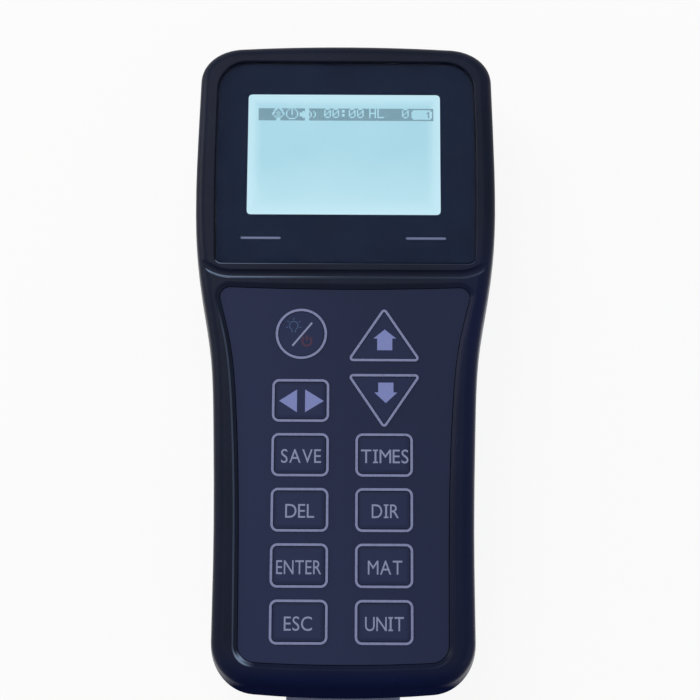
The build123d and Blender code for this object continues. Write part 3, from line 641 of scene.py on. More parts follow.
@dataclass(frozen=True)
class LitDisplay(Finish):
    """Backlit display glass: even light that grows towards the edges of the view."""

    middle: Colour
    edge: Colour
    centre: Point
    half: Point
    glow_width: float = 4.4
    pitch: float = 49.0 / 128.0
    strength: float = 1.0

    def paint(self, tree: Shader) -> None:
        """Lays the finish.

        Args:
            tree: What gets the nodes.
        """
        reach = []
        for name_of_axis, middle, half in zip("XY", self.centre, self.half):
            away = tree.less(tree.axis(name_of_axis), middle)
            reach.append(tree.less(half, tree.math("ABSOLUTE", away)))
        rim = tree.fade(tree.math("MINIMUM", *reach), self.glow_width, 0.0)
        low = tree.fade(tree.axis("Y"), self.centre[1] + 2.0, self.centre[1] - self.half[1])
        cloud = tree.noise(0.04, 3.0)
        light = tree.blend(tree.times(low, 0.5), self.middle, self.edge)
        light = tree.blend(tree.times(rim, 0.8), light, self.edge)
        light = tree.blend(tree.times(tree.fade(cloud, 0.3, 0.8), 0.2), light, self.edge)
        gaps = None
        for name_of_axis in ("X", "Y"):
            step = tree.math("FRACT", tree.math("DIVIDE", tree.axis(name_of_axis), self.pitch))
            one = tree.fade(tree.math("ABSOLUTE", tree.less(step, 0.5)), 0.4, 0.5)
            gaps = one if gaps is None else tree.higher(gaps, one)
        light = tree.blend(tree.times(gaps, 0.12), light, self.edge)
        matte = tree.plus(0.3, tree.times(cloud, 0.1))
        tree.constant(
            Base_Color=(0.02, 0.03, 0.03),
            Roughness=matte,
            Specular_IOR_Level=0.1,
            Emission_Color=light,
            Emission_Strength=self.strength,
        )


@dataclass(frozen=True)
class BareMetal(Finish):
    """Plated or machined metal with fine brushing and dulled spots."""

    base: Colour
    dull: Colour
    roughness: float = 0.28
    brush: Place = (6.0, 0.4, 6.0)
    metallic: float = 1.0

    def paint(self, tree: Shader) -> None:
        """Lays the finish.

        Args:
            tree: What gets the nodes.
        """
        strokes = tree.noise(1.0, 4.0, 0.6, tree.scaled(tree.place, self.brush))
        spots = tree.fade(tree.noise(0.9, 5.0, 0.65), 0.52, 0.75)
        tone = tree.blend(tree.times(spots, 0.6), self.base, self.dull)
        matte = tree.plus(self.roughness, tree.times(strokes, 0.18))
        matte = tree.plus(matte, tree.times(spots, 0.15))
        tree.constant(Base_Color=tone, Roughness=matte, Metallic=self.metallic)
        tree.relief(strokes, 0.004)


@dataclass(frozen=True)
class SoftRubber(Finish):
    """Rubber or silicone: dull, with a dusty bloom and tiny pits."""

    base: Colour
    bloom: Colour
    roughness: float = 0.62

    def paint(self, tree: Shader) -> None:
        """Lays the finish.

        Args:
            tree: What gets the nodes.
        """
        dust = tree.fade(tree.noise(0.5, 6.0, 0.7), 0.42, 0.78)
        pits = tree.cells(3.2)
        tone = tree.blend(tree.times(dust, 0.5), self.base, self.bloom)
        matte = tree.plus(self.roughness, tree.times(dust, 0.15))
        tree.constant(Base_Color=tone, Roughness=matte, Specular_IOR_Level=0.25)
        tree.relief(pits, 0.01)


@dataclass(frozen=True)
class CircuitBoard(Finish):
    """Solder mask over copper tracks, with small tinned pads."""

    mask: Colour
    track: Colour
    pad: Colour

    def paint(self, tree: Shader) -> None:
        """Lays the finish.

        Args:
            tree: What gets the nodes.
        """
        lane = tree.math("FRACT", tree.times(tree.axis("X"), 0.55))
        wide = tree.band(lane, 0.3, 0.6, 0.03)
        broken = tree.fade(tree.noise(0.1, 2.0), 0.48, 0.5)
        tracks = tree.times(wide, broken)
        tone = tree.blend(tracks, self.mask, self.track)
        dots = tree.fade(tree.cells(0.32), 0.24, 0.18)
        tone = tree.blend(dots, tone, self.pad)
        height = tree.higher(tracks, dots)
        matte = tree.plus(0.35, tree.times(tree.noise(2.0), 0.15))
        tree.constant(Base_Color=tone, Roughness=matte, Metallic=tree.times(dots, 0.9))
        tree.relief(height, 0.03)


@dataclass(frozen=True)
class CellJacket(Finish):
    """Shrink jacket of a dry cell: two tones along it, bare steel at its ends."""

    body: Colour
    band: Colour
    edge: Colour
    steel: Colour
    split: float
    axis_x: float
    axis_z: float
    lap: float
    # Y of a cell's two ends, added: the left cell lies the other way round.
    both_ends: float = -94.5
    roughness: float = 0.3

    def paint(self, tree: Shader) -> None:
        """Lays the finish.

        Args:
            tree: What gets the nodes.
        """
        along = tree.axis("Y")
        side = tree.fade(tree.axis("X"), -0.1, 0.1)
        turned = tree.times(tree.less(tree.times(side, 2.0), 1.0), along)
        middle = tree.less(turned, tree.times(tree.less(side, 1.0), self.both_ends))
        tone = tree.blend(tree.fade(middle, self.split - 0.1, self.split + 0.1), self.body, self.band)
        stripe = tree.band(middle, self.split - 2.4, self.split - 1.4, 0.08)
        tone = tree.blend(stripe, tone, self.edge)
        scuff = tree.fade(tree.noise(0.8, 6.0, 0.7), 0.6, 0.75)
        tone = tree.blend(tree.times(scuff, 0.3), tone, self.edge)
        bare = tree.fade(self.axis_distance(tree), self.lap + 0.05, self.lap - 0.05)
        tone = tree.blend(bare, tone, self.steel)
        matte = tree.plus(self.roughness, tree.times(scuff, 0.2))
        tree.constant(Base_Color=tone, Roughness=matte, Metallic=bare, Specular_IOR_Level=0.3)
        tree.relief(tree.noise(1.6, 3.0), 0.01)

    def axis_distance(self, tree: Shader) -> Socket:
        """Measures the distance from the axis of the nearer cell.

        Args:
            tree: What gets the nodes.

        Returns:
            The distance in millimetres.
        """
        across = tree.less(tree.math("ABSOLUTE", tree.axis("X")), self.axis_x)
        up = tree.less(tree.axis("Z"), self.axis_z)
        square = tree.plus(tree.times(across, across), tree.times(up, up))
        return tree.math("SQRT", square)


@dataclass(frozen=True)
class DisplayDot(Finish):
    """A dot of the display that is switched on: it dims the light behind it."""

    dim: Colour = srgb(112, 147, 163)
    light: Colour = srgb(120, 155, 170)

    def paint(self, tree: Shader) -> None:
        """Lays the finish.

        Args:
            tree: What gets the nodes.
        """
        glow = tree.blend(tree.fade(tree.noise(0.3, 3.0), 0.3, 0.8), self.dim, self.light)
        tree.constant(
            Base_Color=(0.02, 0.02, 0.02),
            Roughness=0.5,
            Specular_IOR_Level=0.1,
            Emission_Color=glow,
            Emission_Strength=1.0,
        )


class Slot(Enum):
    """The record's material slots, with the finish of each."""

    # In both shells the fourth colour is a painted cool shade, darker and bluer towards the right side
    # and the foot.
    HOUSING_FRONT = MouldedPlastic(
        # The fifth colour is the painted highlight on the groove's lower wall and the recess's left
        # crest.
        srgb(21, 27, 45), srgb(18, 24, 40), srgb(38, 44, 62), srgb(17, 23, 58), srgb(120, 136, 162)
    )
    HOUSING_REAR = MouldedPlastic(
        srgb(20, 24, 38), srgb(18, 21, 34), srgb(38, 42, 56), srgb(15, 21, 50),
        roughness=0.44, grain_depth=0.02,
    )
    GASKET_RUBBER = SoftRubber(srgb(18, 18, 20), srgb(48, 48, 50))
    SCREW_STEEL = BareMetal(srgb(104, 106, 112), srgb(76, 74, 72), 0.34)
    WINDOW_ACRYLIC = ClearWindow()
    MASK_INK = MaskInk(srgb(25, 36, 61), srgb(22, 32, 55), srgb(128, 134, 166))
    DISPLAY_GLASS = LitDisplay(
        srgb(167, 213, 228), srgb(203, 236, 247), (-0.5, 58.05), (26.85, 17.55)
    )
    LIGHT_GUIDE = PrintInk(srgb(226, 238, 240), srgb(205, 222, 228))
    INNER_PLASTIC = MouldedPlastic(srgb(62, 64, 68), srgb(54, 56, 60), srgb(98, 100, 104))
    PLATED_METAL = BareMetal(srgb(196, 192, 182), srgb(140, 132, 118), 0.22)
    # Each film's first two colours are its painted lit left side and its shaded right side.
    OVERLAY_FILM = PrintedFilm(srgb(40, 47, 76), srgb(32, 39, 64), srgb(132, 138, 174), 37.26)
    # The key grid's colour is the painted shade on each key's slope.
    KEY_FILM = PrintedFilm(
        srgb(43, 50, 80), srgb(37, 44, 72), srgb(132, 138, 174), 45.0, KeyGrid(srgb(26, 31, 54))
    )
    SPACER_FILM = PrintInk(srgb(180, 186, 190), srgb(160, 168, 174))
    CIRCUIT_FILM = PrintInk(srgb(176, 150, 96), srgb(150, 124, 74))
    CONNECTOR_PLASTIC = MouldedPlastic(srgb(30, 30, 33), srgb(26, 26, 29), srgb(60, 60, 64))
    BOARD_GREEN = CircuitBoard(srgb(22, 74, 52), srgb(30, 98, 66), srgb(186, 188, 190))
    CHIP_BLACK = MouldedPlastic(srgb(26, 26, 28), srgb(22, 22, 24), srgb(50, 50, 54), grain_size=0.15)
    CELL_STEEL = BareMetal(srgb(190, 190, 186), srgb(140, 138, 132))
    CELL_JACKET = CellJacket(
        srgb(34, 36, 42), srgb(176, 128, 66), srgb(206, 200, 188), srgb(188, 188, 184),
        split=-35.0, axis_x=7.375, axis_z=9.75, lap=6.55,
    )
    SOCKET_CHROME = BareMetal(srgb(140, 142, 148), srgb(104, 104, 108), 0.28)
    CONTACT_GOLD = BareMetal(srgb(222, 178, 96), srgb(170, 128, 62), 0.2)
    COVER_RUBBER = SoftRubber(srgb(128, 133, 158), srgb(142, 146, 166))


KEY_KINDS = (
    "power", "up", "down", "left_right", "save", "times", "del", "dir", "enter", "mat", "esc", "unit",
)
NODES_OF_SLOT: dict[Slot, tuple[str, ...]] = {
    Slot.HOUSING_FRONT: ("front_shell",),
    Slot.HOUSING_REAR: ("rear_shell", "battery_door", "socket_plate"),
    Slot.GASKET_RUBBER: ("case_gasket",),
    Slot.SCREW_STEEL: ("case_screws", "board_screws"),
    Slot.WINDOW_ACRYLIC: ("display_window",),
    Slot.MASK_INK: ("window_mask",),
    Slot.DISPLAY_GLASS: ("display_glass",),
    Slot.LIGHT_GUIDE: ("display_light_guide",),
    Slot.INNER_PLASTIC: ("display_frame",),
    Slot.PLATED_METAL: (
        "display_pins", "keypad_domes", "clock_cell_holder",
        "battery_springs", "battery_plates", "port_shell",
    ),
    Slot.OVERLAY_FILM: ("keypad_overlay",),
    Slot.SPACER_FILM: ("keypad_spacer",),
    Slot.CIRCUIT_FILM: ("keypad_circuit",),
    Slot.CONNECTOR_PLASTIC: ("keypad_connector", "probe_insert", "port_tongue"),
    Slot.BOARD_GREEN: ("main_board",),
    Slot.CHIP_BLACK: ("processor_chip", "memory_chip", "amplifier_chip", "buzzer"),
    Slot.CELL_STEEL: ("clock_cell",),
    Slot.CELL_JACKET: ("battery_cells",),
    Slot.SOCKET_CHROME: ("probe_socket", "probe_nut"),
    Slot.CONTACT_GOLD: ("probe_contacts",),
    Slot.COVER_RUBBER: ("port_cover",),
    Slot.KEY_FILM: tuple(f"key_{kind}" for kind in KEY_KINDS),
}


def dress_nodes() -> None:
    """Gives every node the material of its slot."""
    for slot, nodes in NODES_OF_SLOT.items():
        name = slot.name.lower()
        material = slot.value.build(name)
        for node in nodes:
            materials = NODES[node].data.materials
            materials.clear()
            materials.append(material)
            LOG.info("%s wears %s", node, name)


class Sheet:
    """A bmesh of thin printed shapes, drawn in millimetres and laid on one level."""

    def __init__(self, level: float) -> None:
        """Starts an empty print.

        Args:
            level: Height of the surface that it lies on.
        """
        self.level = level
        self.mesh = bmesh.new()

    def polygon(self, corners: list[Point]) -> None:
        """Adds a flat shape with straight sides.

        Args:
            corners: Its corners in order.
        """
        verts = [self.mesh.verts.new((x, y, self.level)) for x, y in corners]
        loop = [self.mesh.edges.new((verts[at - 1], verts[at])) for at in range(len(verts))]
        face = bmesh.ops.contextual_create(self.mesh, geom=loop)["faces"]
        raised = bmesh.ops.extrude_face_region(self.mesh, geom=face)["geom"]
        tops = [part for part in raised if isinstance(part, bmesh.types.BMVert)]
        bmesh.ops.translate(self.mesh, verts=tops, vec=(0.0, 0.0, PRINT_THICK))

    def bar(self, start: Point, end: Point, width: float) -> None:
        """Adds a straight stroke.

        Args:
            start: Middle of one end.
            end: Middle of the other end.
            width: Width of the stroke.
        """
        first, last = Vector(start), Vector(end)
        along = (last - first).normalized()
        aside = Vector((-along.y, along.x)) * (width / 2)
        corners = (first + aside, first - aside, last - aside, last + aside)
        self.polygon([(corner.x, corner.y) for corner in corners])

    def arc(self, centre: Point, radius: float, width: float, start: float, sweep: float) -> None:
        """Adds a curved stroke.

        Args:
            centre: Centre of the arc.
            radius: Radius of the middle of the stroke.
            width: Width of the stroke.
            start: Angle of its start in degrees.
            sweep: Angle that it sweeps in degrees.
        """
        profile = [
            self.mesh.verts.new((radius + side * width / 2, 0.0, height))
            for side, height in ((-1, 0.0), (1, 0.0), (1, PRINT_THICK), (-1, PRINT_THICK))
        ]
        face = bmesh.ops.contextual_create(self.mesh, geom=profile)["faces"]
        before = set(self.mesh.verts) - set(profile)
        bmesh.ops.spin(
            self.mesh,
            geom=[*profile, *face[0].edges, *face],
            cent=(0.0, 0.0, 0.0),
            axis=(0.0, 0.0, 1.0),
            angle=math.radians(sweep),
            steps=40,
            use_merge=False,
        )
        made = [vert for vert in self.mesh.verts if vert not in before]
        turn = Matrix.Rotation(math.radians(start), 4, "Z")
        place = Matrix.Translation((centre[0], centre[1], self.level)) @ turn
        bmesh.ops.transform(self.mesh, matrix=place, verts=made)

    def letter(self, character: str, left: float, bottom: float, height: float, stretch: float) -> float:
        """Adds one capital letter.

        Args:
            character: The letter.
            left: Left edge of its ink.
            bottom: Level of the baseline.
            height: Height of a capital.
            stretch: Width against that of the type.

        Returns:
            Width of its ink.
        """
        shape = type_mesh(character)
        wide = [vertex.co.x for vertex in shape.vertices]
        scale = height / capital_height()
        grow = Matrix.Diagonal((scale * stretch, scale, PRINT_THICK, 1.0))
        base = Matrix.Translation((-min(wide), 0.0, TYPE_HALF))
        place = Matrix.Translation((left, bottom, self.level))
        shape.transform(place @ grow @ base)
        self.mesh.from_mesh(shape)
        bpy.data.meshes.remove(shape)
        return (max(wide) - min(wide)) * scale * stretch

    def finish(self, name: str, kind: str, material: Material) -> None:
        """Turns the print into a piece that rides on a key.

        Args:
            name: What the legend shows.
            kind: Which key it is printed on.
            material: What it wears.
        """
        bmesh.ops.remove_doubles(self.mesh, verts=self.mesh.verts, dist=1e-4)
        bmesh.ops.recalc_face_normals(self.mesh, faces=self.mesh.faces)
        piece_of(self.mesh, f"legend_{name}", f"{kind}_key", material)


def data_of(mesh: bmesh.types.BMesh, name: str) -> Mesh:
    """Turns a bmesh into mesh data.

    Args:
        mesh: The shape, which is freed.
        name: Name of the data.

    Returns:
        The data.
    """
    data = bpy.data.meshes.new(name)
    mesh.to_mesh(data)
    mesh.free()
    return data


def piece_of(
    mesh: bmesh.types.BMesh, name: str, body: str, material: Material
) -> bpy.types.Object:
    """Makes an object of a bmesh in millimetres and sets it on its body.

    Args:
        mesh: The shape, which is freed.
        name: Name of the piece.
        body: Body that it rides on.
        material: What it wears.

    Returns:
        The piece.
    """
    bmesh.ops.scale(mesh, vec=(MM, MM, MM), verts=mesh.verts)
    data = data_of(mesh, name)
    data.materials.append(material)
    made = bpy.data.objects.new(name, data)
    bpy.context.scene.collection.objects.link(made)
    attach(made, body)
    LOG.info("%s made with %d faces", name, len(data.polygons))
    return made


def shown_mesh(carrier: bpy.types.Object) -> Mesh:
    """Makes mesh data of what an object shows, and removes the object.

    Args:
        carrier: Object that no collection holds yet.

    Returns:
        The data.
    """
    bpy.context.scene.collection.objects.link(carrier)
    bpy.context.view_layer.update()
    graph = bpy.context.evaluated_depsgraph_get()
    shape = bpy.data.meshes.new_from_object(carrier.evaluated_get(graph))
    bpy.data.objects.remove(carrier)
    return shape


def type_mesh(character: str) -> Mesh:
    """Makes mesh data of a letter of the built-in type.

    Args:
        character: The letter.

    Returns:
        The data.
    """
    curve = bpy.data.curves.new("letter", "FONT")
    curve.body = character
    curve.resolution_u = 4
    curve.extrude = TYPE_HALF
    shape = shown_mesh(bpy.data.objects.new("letter", curve))
    bpy.data.curves.remove(curve)
    return shape


@cache
def capital_height() -> float:
    """Gives the height of a capital of the built-in type.

    Returns:
        The height.
    """
    shape = type_mesh("H")
    tall = max(vertex.co.y for vertex in shape.vertices)
    bpy.data.meshes.remove(shape)
    return tall


@dataclass(frozen=True)
class CaseScrews:
    """Pan-headed screws of the housing, with a cross recess in each head."""

    places: Points = ((32.6, 82.3), (32.4, 29.2), (27.2, -75.9))
    head_radius: float = 2.7
    head_low: float = 2.8
    seat: float = 5.0
    shank_radius: float = 1.45
    shank_overlap: float = 0.4
    tip: float = 32.0
    rim_round: float = 0.5
    slot_length: float = 3.0
    slot_width: float = 0.7
    slot_depth: float = 1.2
    facets: int = 48

    def build(self, material: Material) -> None:
        """Makes the screws as one piece in place of the frame's own.

        Args:
            material: What they wear.
        """
        mesh = bmesh.new()
        for side in (-1.0, 1.0):
            for x, y in self.places:
                shape = self.one(side * x, y)
                mesh.from_mesh(shape)
                bpy.data.meshes.remove(shape)
        made = piece_of(mesh, "case_screws_crossed", HOUSING, material)
        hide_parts("case_screws")

    def one(self, x: float, y: float) -> Mesh:
        """Makes one screw with its recess cut out.

        Args:
            x: Its place across.
            y: Its place along.

        Returns:
            Its mesh in millimetres.
        """
        body = self.drum(self.head_radius, self.head_low, self.seat, self.rim_round)
        shank = self.drum(self.shank_radius, self.seat - self.shank_overlap, self.tip, 0.0)
        body = self.combined(body, shank, "UNION")
        for wide, long in ((self.slot_length, self.slot_width), (self.slot_width, self.slot_length)):
            block = bmesh.new()
            size = Matrix.Diagonal((wide, long, self.slot_depth * 2, 1.0))
            place = Matrix.Translation((0.0, 0.0, self.head_low))
            bmesh.ops.create_cube(block, size=1.0, matrix=place @ size)
            body = self.combined(body, data_of(block, "screw_slot"), "DIFFERENCE")
        body.transform(Matrix.Translation((x, y, 0.0)))
        return body

    def drum(self, radius: float, low: float, high: float, rounding: float) -> Mesh:
        """Makes an upright cylinder with its lower rim rounded.

        Args:
            radius: Its radius.
            low: Level of its lower end.
            high: Level of its upper end.
            rounding: Radius of the rounded rim, none at 0.

        Returns:
            Its mesh.
        """
        mesh = bmesh.new()
        bmesh.ops.create_cone(
            mesh, cap_ends=True, segments=self.facets, radius1=radius, radius2=radius, depth=high - low,
            matrix=Matrix.Translation((0.0, 0.0, (low + high) / 2)),
        )
        if rounding > 0.0:
            rim = [edge for edge in mesh.edges if max(vert.co.z for vert in edge.verts) < low + 0.01]
            bmesh.ops.bevel(
                mesh, geom=rim, offset=rounding, offset_type="OFFSET", affect="EDGES", segments=4,
                profile=0.5, material=-1,
            )
        return data_of(mesh, "screw_drum")

    def combined(self, body: Mesh, tool: Mesh, operation: str) -> Mesh:
        """Joins a second shape to a first one, or cuts it out.

        Args:
            body: The first shape, which is removed.
            tool: The second shape, which is removed.
            operation: UNION or DIFFERENCE.

        Returns:
            The result.
        """
        first = bpy.data.objects.new("screw_body", body)
        second = bpy.data.objects.new("screw_tool", tool)
        bpy.context.scene.collection.objects.link(second)
        cut = first.modifiers.new("cut", "BOOLEAN")
        cut.operation = operation
        cut.object = second
        result = shown_mesh(first)
        bpy.data.objects.remove(second)
        bpy.data.meshes.remove(body)
        bpy.data.meshes.remove(tool)
        return result


ARROWS: dict[str, tuple[Points, ...]] = {
    "up": (
        ((8.8, 0.75), (12.9, 0.75), (12.9, 4.0), (13.95, 4.0), (10.85, 6.5), (7.75, 4.0), (8.8, 4.0)),
    ),
    "down": (
        (
            (9.1, -8.2), (9.1, -10.9), (8.05, -10.9), (11.15, -13.8), (14.25, -10.9), (13.2, -10.9),
            (13.2, -8.2),
        ),
    ),
    "left_right": (
        ((-17.6, -13.3), (-12.8, -16.4), (-12.8, -10.2)),
        ((-10.6, -16.4), (-5.6, -13.3), (-10.6, -10.2)),
    ),
}


@dataclass(frozen=True)
class Word:
    """One key's word and the span of its ink."""

    kind: str
    text: str
    left: float
    right: float
    centre_y: float


@dataclass
class KeyLegends:
    """Words and signs printed on the keys, one piece for each key."""

    words: tuple[Word, ...] = (
        Word("save", "SAVE", -16.9, -6.2, -28.3),
        Word("times", "TIMES", 4.5, 17.2, -28.3),
        Word("del", "DEL", -15.6, -7.9, -43.0),
        Word("dir", "DIR", 7.4, 14.6, -43.0),
        Word("enter", "ENTER", -17.8, -5.9, -57.9),
        Word("mat", "MAT", 6.4, 15.5, -57.9),
        Word("esc", "ESC", -15.6, -8.2, -72.6),
        Word("unit", "UNIT", 5.7, 15.9, -72.6),
    )
    capital: float = 3.65
    least_gap: float = 0.42
    serif: float = 1.5
    stem: float = 0.5
    light: PrintInk = PrintInk(srgb(138, 144, 176), srgb(124, 130, 164))
    violet: PrintInk = PrintInk(srgb(126, 136, 190), srgb(112, 122, 174))
    bulb: PrintInk = PrintInk(srgb(62, 88, 124), srgb(54, 76, 110))
    red: PrintInk = PrintInk(srgb(66, 42, 66), srgb(60, 42, 64))

    def build(self) -> None:
        """Prints every key."""
        light = self.light.build("legend_ink")
        for word in self.words:
            self.print_word(word, light)
        self.print_arrows(self.violet.build("arrow_ink"))
        self.print_power(light)

    def widths(self, text: str) -> list[float]:
        """Measures each letter's ink at the capital height.

        Args:
            text: The word.

        Returns:
            One width for each letter.
        """
        trial = Sheet(0.0)
        found = []
        for character in text:
            barred = character == "I"
            found.append(self.serif if barred else trial.letter(character, 0.0, 0.0, self.capital, 1.0))
        trial.mesh.free()
        return found

    def print_word(self, word: Word, ink: Material) -> None:
        """Prints a word, spread evenly over its span.

        Args:
            word: The word and its span.
            ink: What it is printed with.
        """
        sheet = Sheet(KEY_TOP)
        widths = self.widths(word.text)
        span = word.right - word.left
        gaps = len(word.text) - 1
        stretch = min(1.0, (span - gaps * self.least_gap) / sum(widths))
        gap = (span - stretch * sum(widths)) / gaps
        bottom = word.centre_y + FRONT_SHIFT - self.capital / 2
        left = word.left
        for character, width in zip(word.text, widths):
            if character == "I":
                self.print_barred_i(sheet, left, bottom, width * stretch)
            else:
                sheet.letter(character, left, bottom, self.capital, stretch)
            left += width * stretch + gap
        sheet.finish(word.kind, word.kind, ink)

    def print_barred_i(self, sheet: Sheet, left: float, bottom: float, width: float) -> None:
        """Prints a capital I with a bar at its head and foot.

        Args:
            sheet: The print.
            left: Left edge of the bars.
            bottom: Level of the baseline.
            width: Width of the bars.
        """
        right, top = left + width, bottom + self.capital
        middle = (left + right) / 2
        stem, thin = self.stem / 2, self.stem * 0.8
        sheet.polygon(
            [
                (left, bottom), (right, bottom), (right, bottom + thin), (middle + stem, bottom + thin),
                (middle + stem, top - thin), (right, top - thin), (right, top), (left, top),
                (left, top - thin), (middle - stem, top - thin), (middle - stem, bottom + thin),
                (left, bottom + thin),
            ]
        )

    def print_arrows(self, ink: Material) -> None:
        """Prints the signs of the three arrow keys.

        Args:
            ink: What they are printed with.
        """
        for kind, shapes in ARROWS.items():
            sheet = Sheet(KEY_TOP)
            for corners in shapes:
                sheet.polygon([(x, y + FRONT_SHIFT) for x, y in corners])
            sheet.finish(kind, kind, ink)

    def print_power(self, ink: Material) -> None:
        """Prints the slash and the two small signs of the power key.

        Args:
            ink: What the slash is printed with.
        """
        slash = Sheet(KEY_TOP)
        slash.bar((-8.9, 8.3 + FRONT_SHIFT), (-14.2, 1.9 + FRONT_SHIFT), 0.5)
        slash.finish("power_slash", "power", ink)
        lamp = Sheet(KEY_TOP)
        centre = (-13.9, 7.5 + FRONT_SHIFT)
        lamp.arc(centre, 1.15, 0.24, -60.0, 300.0)
        for side in (-0.45, 0.45):
            lamp.bar((centre[0] + side, centre[1] - 1.15), (centre[0] + side, centre[1] - 1.9), 0.24)
        for angle in (-15.0, 35.0, 90.0, 145.0, 195.0):
            way = Vector((math.cos(math.radians(angle)), math.sin(math.radians(angle))))
            near, far = Vector(centre) + way * 1.6, Vector(centre) + way * 2.2
            lamp.bar((near.x, near.y), (far.x, far.y), 0.22)
        lamp.finish("power_lamp", "power", self.bulb.build("lamp_ink"))
        switch = Sheet(KEY_TOP)
        centre = (-10.3, 3.2 + FRONT_SHIFT)
        switch.arc(centre, 1.25, 0.6, 125.0, 290.0)
        switch.bar((centre[0], centre[1] + 0.1), (centre[0], centre[1] + 1.7), 0.6)
        switch.finish("power_switch", "power", self.red.build("switch_ink"))


GLYPHS: dict[str, tuple[str, ...]] = {
    "bulb": (
        "..##.##..", ".##...##.", ".#..#..#.", "##.#.#.##", "#...#...#", ".#.#.#.#.", "..#.#.#..",
        "...###...", "...###...",
    ),
    "clock": (
        "..#.#.#..", ".#..#..#.", "#...#...#", "#...#...#", "#...#...#", "#.......#", ".#.....#.",
        "..#####..",
    ),
    "speaker": (
        "....###", "....###", "..#####", "#######", "#######", "#######", "..#####", "....###", "....###",
    ),
    "waves": (".....", ".....", "#..#.", ".#..#", ".#..#", ".#..#", "#..#.", "....."),
    "zero": (".###.", "#...#", "#..##", "#.#.#", "##..#", "#...#", ".###."),
    "colon": ("..", "##", "##", "..", "##", "##", ".."),
    "letter_h": ("#...#", "#...#", "#...#", "#####", "#...#", "#...#", "#...#"),
    "letter_l": ("#....", "#....", "#....", "#....", "#....", "#....", "#####"),
    "battery": (
        "...............", ".#############.", "############.##", "###########..##", "############.##",
        "############.##", "############.##", ".#############.",
    ),
}


@dataclass
class DisplayPicture:
    """Status row of the display: dark dots, left out where a light sign stands."""

    left: float = -24.5
    top: float = 70.35 + FRONT_SHIFT
    columns: int = 128
    rows: int = 9
    pitch: float = 49.0 / 128.0
    row_pitch: float = 0.4
    gap: float = 0.02
    level: float = DISPLAY_TOP
    thick: float = 0.03
    signs: tuple[tuple[str, int], ...] = (
        ("bulb", 10), ("clock", 20), ("speaker", 30), ("waves", 37), ("zero", 48), ("zero", 54),
        ("colon", 61), ("zero", 66), ("zero", 72), ("letter_h", 81), ("letter_l", 87), ("zero", 105),
        ("battery", 112),
    )

    def light_dots(self) -> set[tuple[int, int]]:
        """Lists the dots that stay light.

        Returns:
            Column and row of each.
        """
        found = set()
        for name, start in self.signs:
            for row, line in enumerate(GLYPHS[name]):
                for column, mark in enumerate(line):
                    if mark == "#":
                        found.add((start + column, row))
        return found

    def build(self) -> None:
        """Makes the row of dots as one piece."""
        mesh = bmesh.new()
        light = self.light_dots()
        size = Matrix.Diagonal((self.pitch - self.gap, self.row_pitch - self.gap, self.thick, 1.0))
        for row in range(self.rows):
            for column in range(self.columns):
                if (column, row) in light:
                    continue
                x = self.left + (column + 0.5) * self.pitch
                y = self.top - (row + 0.5) * self.row_pitch
                place = Matrix.Translation((x, y, self.level + self.thick / 2))
                bmesh.ops.create_cube(mesh, size=1.0, matrix=place @ size)
        material = DisplayDot().build("display_dot")
        piece_of(mesh, "display_status_dots", HOUSING, material)


@dataclass(frozen=True)
class Lamp:
    """Square soft lamp that looks at the object; its level is that of a white surface facing it."""

    name: str
    place: Place
    size: float
    level: float
    colour: Colour
    aim: Place = (0.0, 0.0, 0.02)

    def hang(self) -> None:
        """Hangs the lamp in the scene."""
        lamp = bpy.data.lights.new(self.name, "AREA")
        away = Vector(self.place) - Vector(self.aim)
        lamp.size = self.size
        lamp.color = self.colour
        lamp.energy = self.level * math.pi**2 * away.length_squared
        hung = bpy.data.objects.new(self.name, lamp)
        hung.location = self.place
        hung.rotation_euler = away.to_track_quat("Z", "Y").to_euler()
        bpy.context.scene.collection.objects.link(hung)


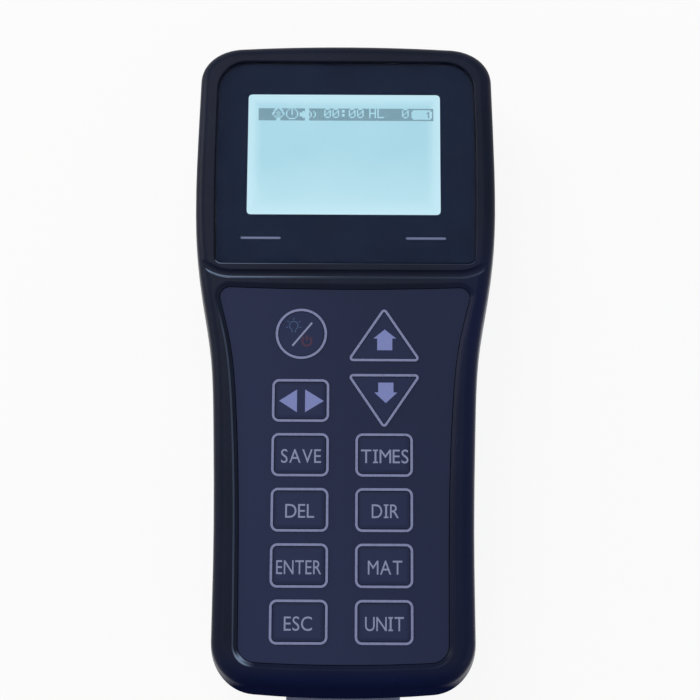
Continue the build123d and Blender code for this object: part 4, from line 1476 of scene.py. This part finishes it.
@dataclass
class Studio:
    """Pale floor, soft lamps, even world and the camera."""

    floor_size: float = 6.0
    floor_tone: Colour = (0.8, 0.8, 0.8)
    floor_fibre: Colour = (0.78, 0.78, 0.79)
    floor_light: float = 0.9
    floor_gap: float = 0.0004
    world_level: float = 0.45
    lens: float = 85.08
    sensor: float = 36.0
    camera_place: Place = (0.00143, -0.09123, 0.47624)
    camera_tilt: float = 12.0
    camera_roll: float = 0.2623
    lamps: tuple[Lamp, ...] = (
        Lamp("lamp_front", (-0.25, 0.45, 0.95), 0.7, 0.42, (1.0, 0.99, 0.97)),
        Lamp("lamp_left", (-0.75, 0.3, 0.22), 0.35, 0.3, (1.0, 0.97, 0.92)),
        Lamp("lamp_right", (0.7, -0.25, 0.3), 0.4, 0.12, (0.6, 0.7, 1.0)),
        Lamp("lamp_below", (0.2, -0.3, -0.9), 0.6, 0.6, (1.0, 0.99, 0.97)),
    )

    def build(self) -> None:
        """Sets the stage."""
        self.make_floor()
        self.make_world()
        for lamp in self.lamps:
            lamp.hang()
        self.make_camera()

    def make_floor(self) -> None:
        """Lays the pale floor, which keeps a trace of shadow and can be looked through from below."""
        mesh = bmesh.new()
        bmesh.ops.create_grid(mesh, x_segments=2, y_segments=2, size=self.floor_size / 2)
        data = data_of(mesh, "floor")
        tree = Shader("floor_paper")
        tone = tree.blend(tree.noise(0.02, 3.0), self.floor_tone, self.floor_fibre)
        tree.constant(Base_Color=tone, Roughness=0.9, Specular_IOR_Level=0.1)
        glow = tree.node("ShaderNodeEmission")
        glow.inputs["Strength"].default_value = 1.0
        lit = tree.times(tree.background_rays(), self.floor_light)
        paper = tree.mixed(lit, tree.surface.outputs[0], glow.outputs[0])
        clear = tree.node("ShaderNodeBsdfTransparent")
        shadow = tree.node("ShaderNodeLightPath").outputs["Is Shadow Ray"]
        below = tree.node("ShaderNodeNewGeometry").outputs["Backfacing"]
        paper = tree.mixed(tree.higher(shadow, below), paper, clear.outputs[0])
        tree.feed(tree.output.inputs["Surface"], paper)
        data.materials.append(tree.material)
        floor = bpy.data.objects.new("floor", data)
        floor.location = (0.0, 0.0, -self.floor_gap)
        bpy.context.scene.collection.objects.link(floor)

    def make_world(self) -> None:
        """Lights the world evenly, and shows it white."""
        world = bpy.data.worlds.new("studio")
        bpy.context.scene.world = world
        world.use_nodes = True
        tree = Tree(world.node_tree)
        background = world.node_tree.nodes["Background"]
        background.inputs["Color"].default_value = (1.0, 1.0, 1.0, 1.0)
        spread = tree.node("ShaderNodeMapRange")
        spread.inputs["To Min"].default_value = self.world_level
        spread.inputs["To Max"].default_value = 1.0
        tree.feed(spread.inputs["Value"], tree.background_rays())
        tree.feed(background.inputs["Strength"], spread.outputs["Result"])

    def make_camera(self) -> None:
        """Sets the camera at the photograph's angle."""
        data = bpy.data.cameras.new("camera")
        data.lens = self.lens
        data.sensor_width = self.sensor
        data.clip_start = 0.01
        camera = bpy.data.objects.new("camera", data)
        tilt = Matrix.Rotation(math.radians(self.camera_tilt), 4, "X")
        roll = Matrix.Rotation(math.radians(self.camera_roll), 4, "Z")
        camera.matrix_world = Matrix.Translation(self.camera_place) @ tilt @ roll
        bpy.context.scene.collection.objects.link(camera)
        bpy.context.scene.camera = camera
        bpy.context.scene.view_settings.view_transform = "Standard"


def main() -> None:
    """Dresses the frame, adds the printed detail and sets the stage."""
    dress_nodes()
    CaseScrews().build(NODES["case_screws"].data.materials[0])
    DisplayPicture().build()
    KeyLegends().build()
    Studio().build()


if __name__ == "__main__":
    main()
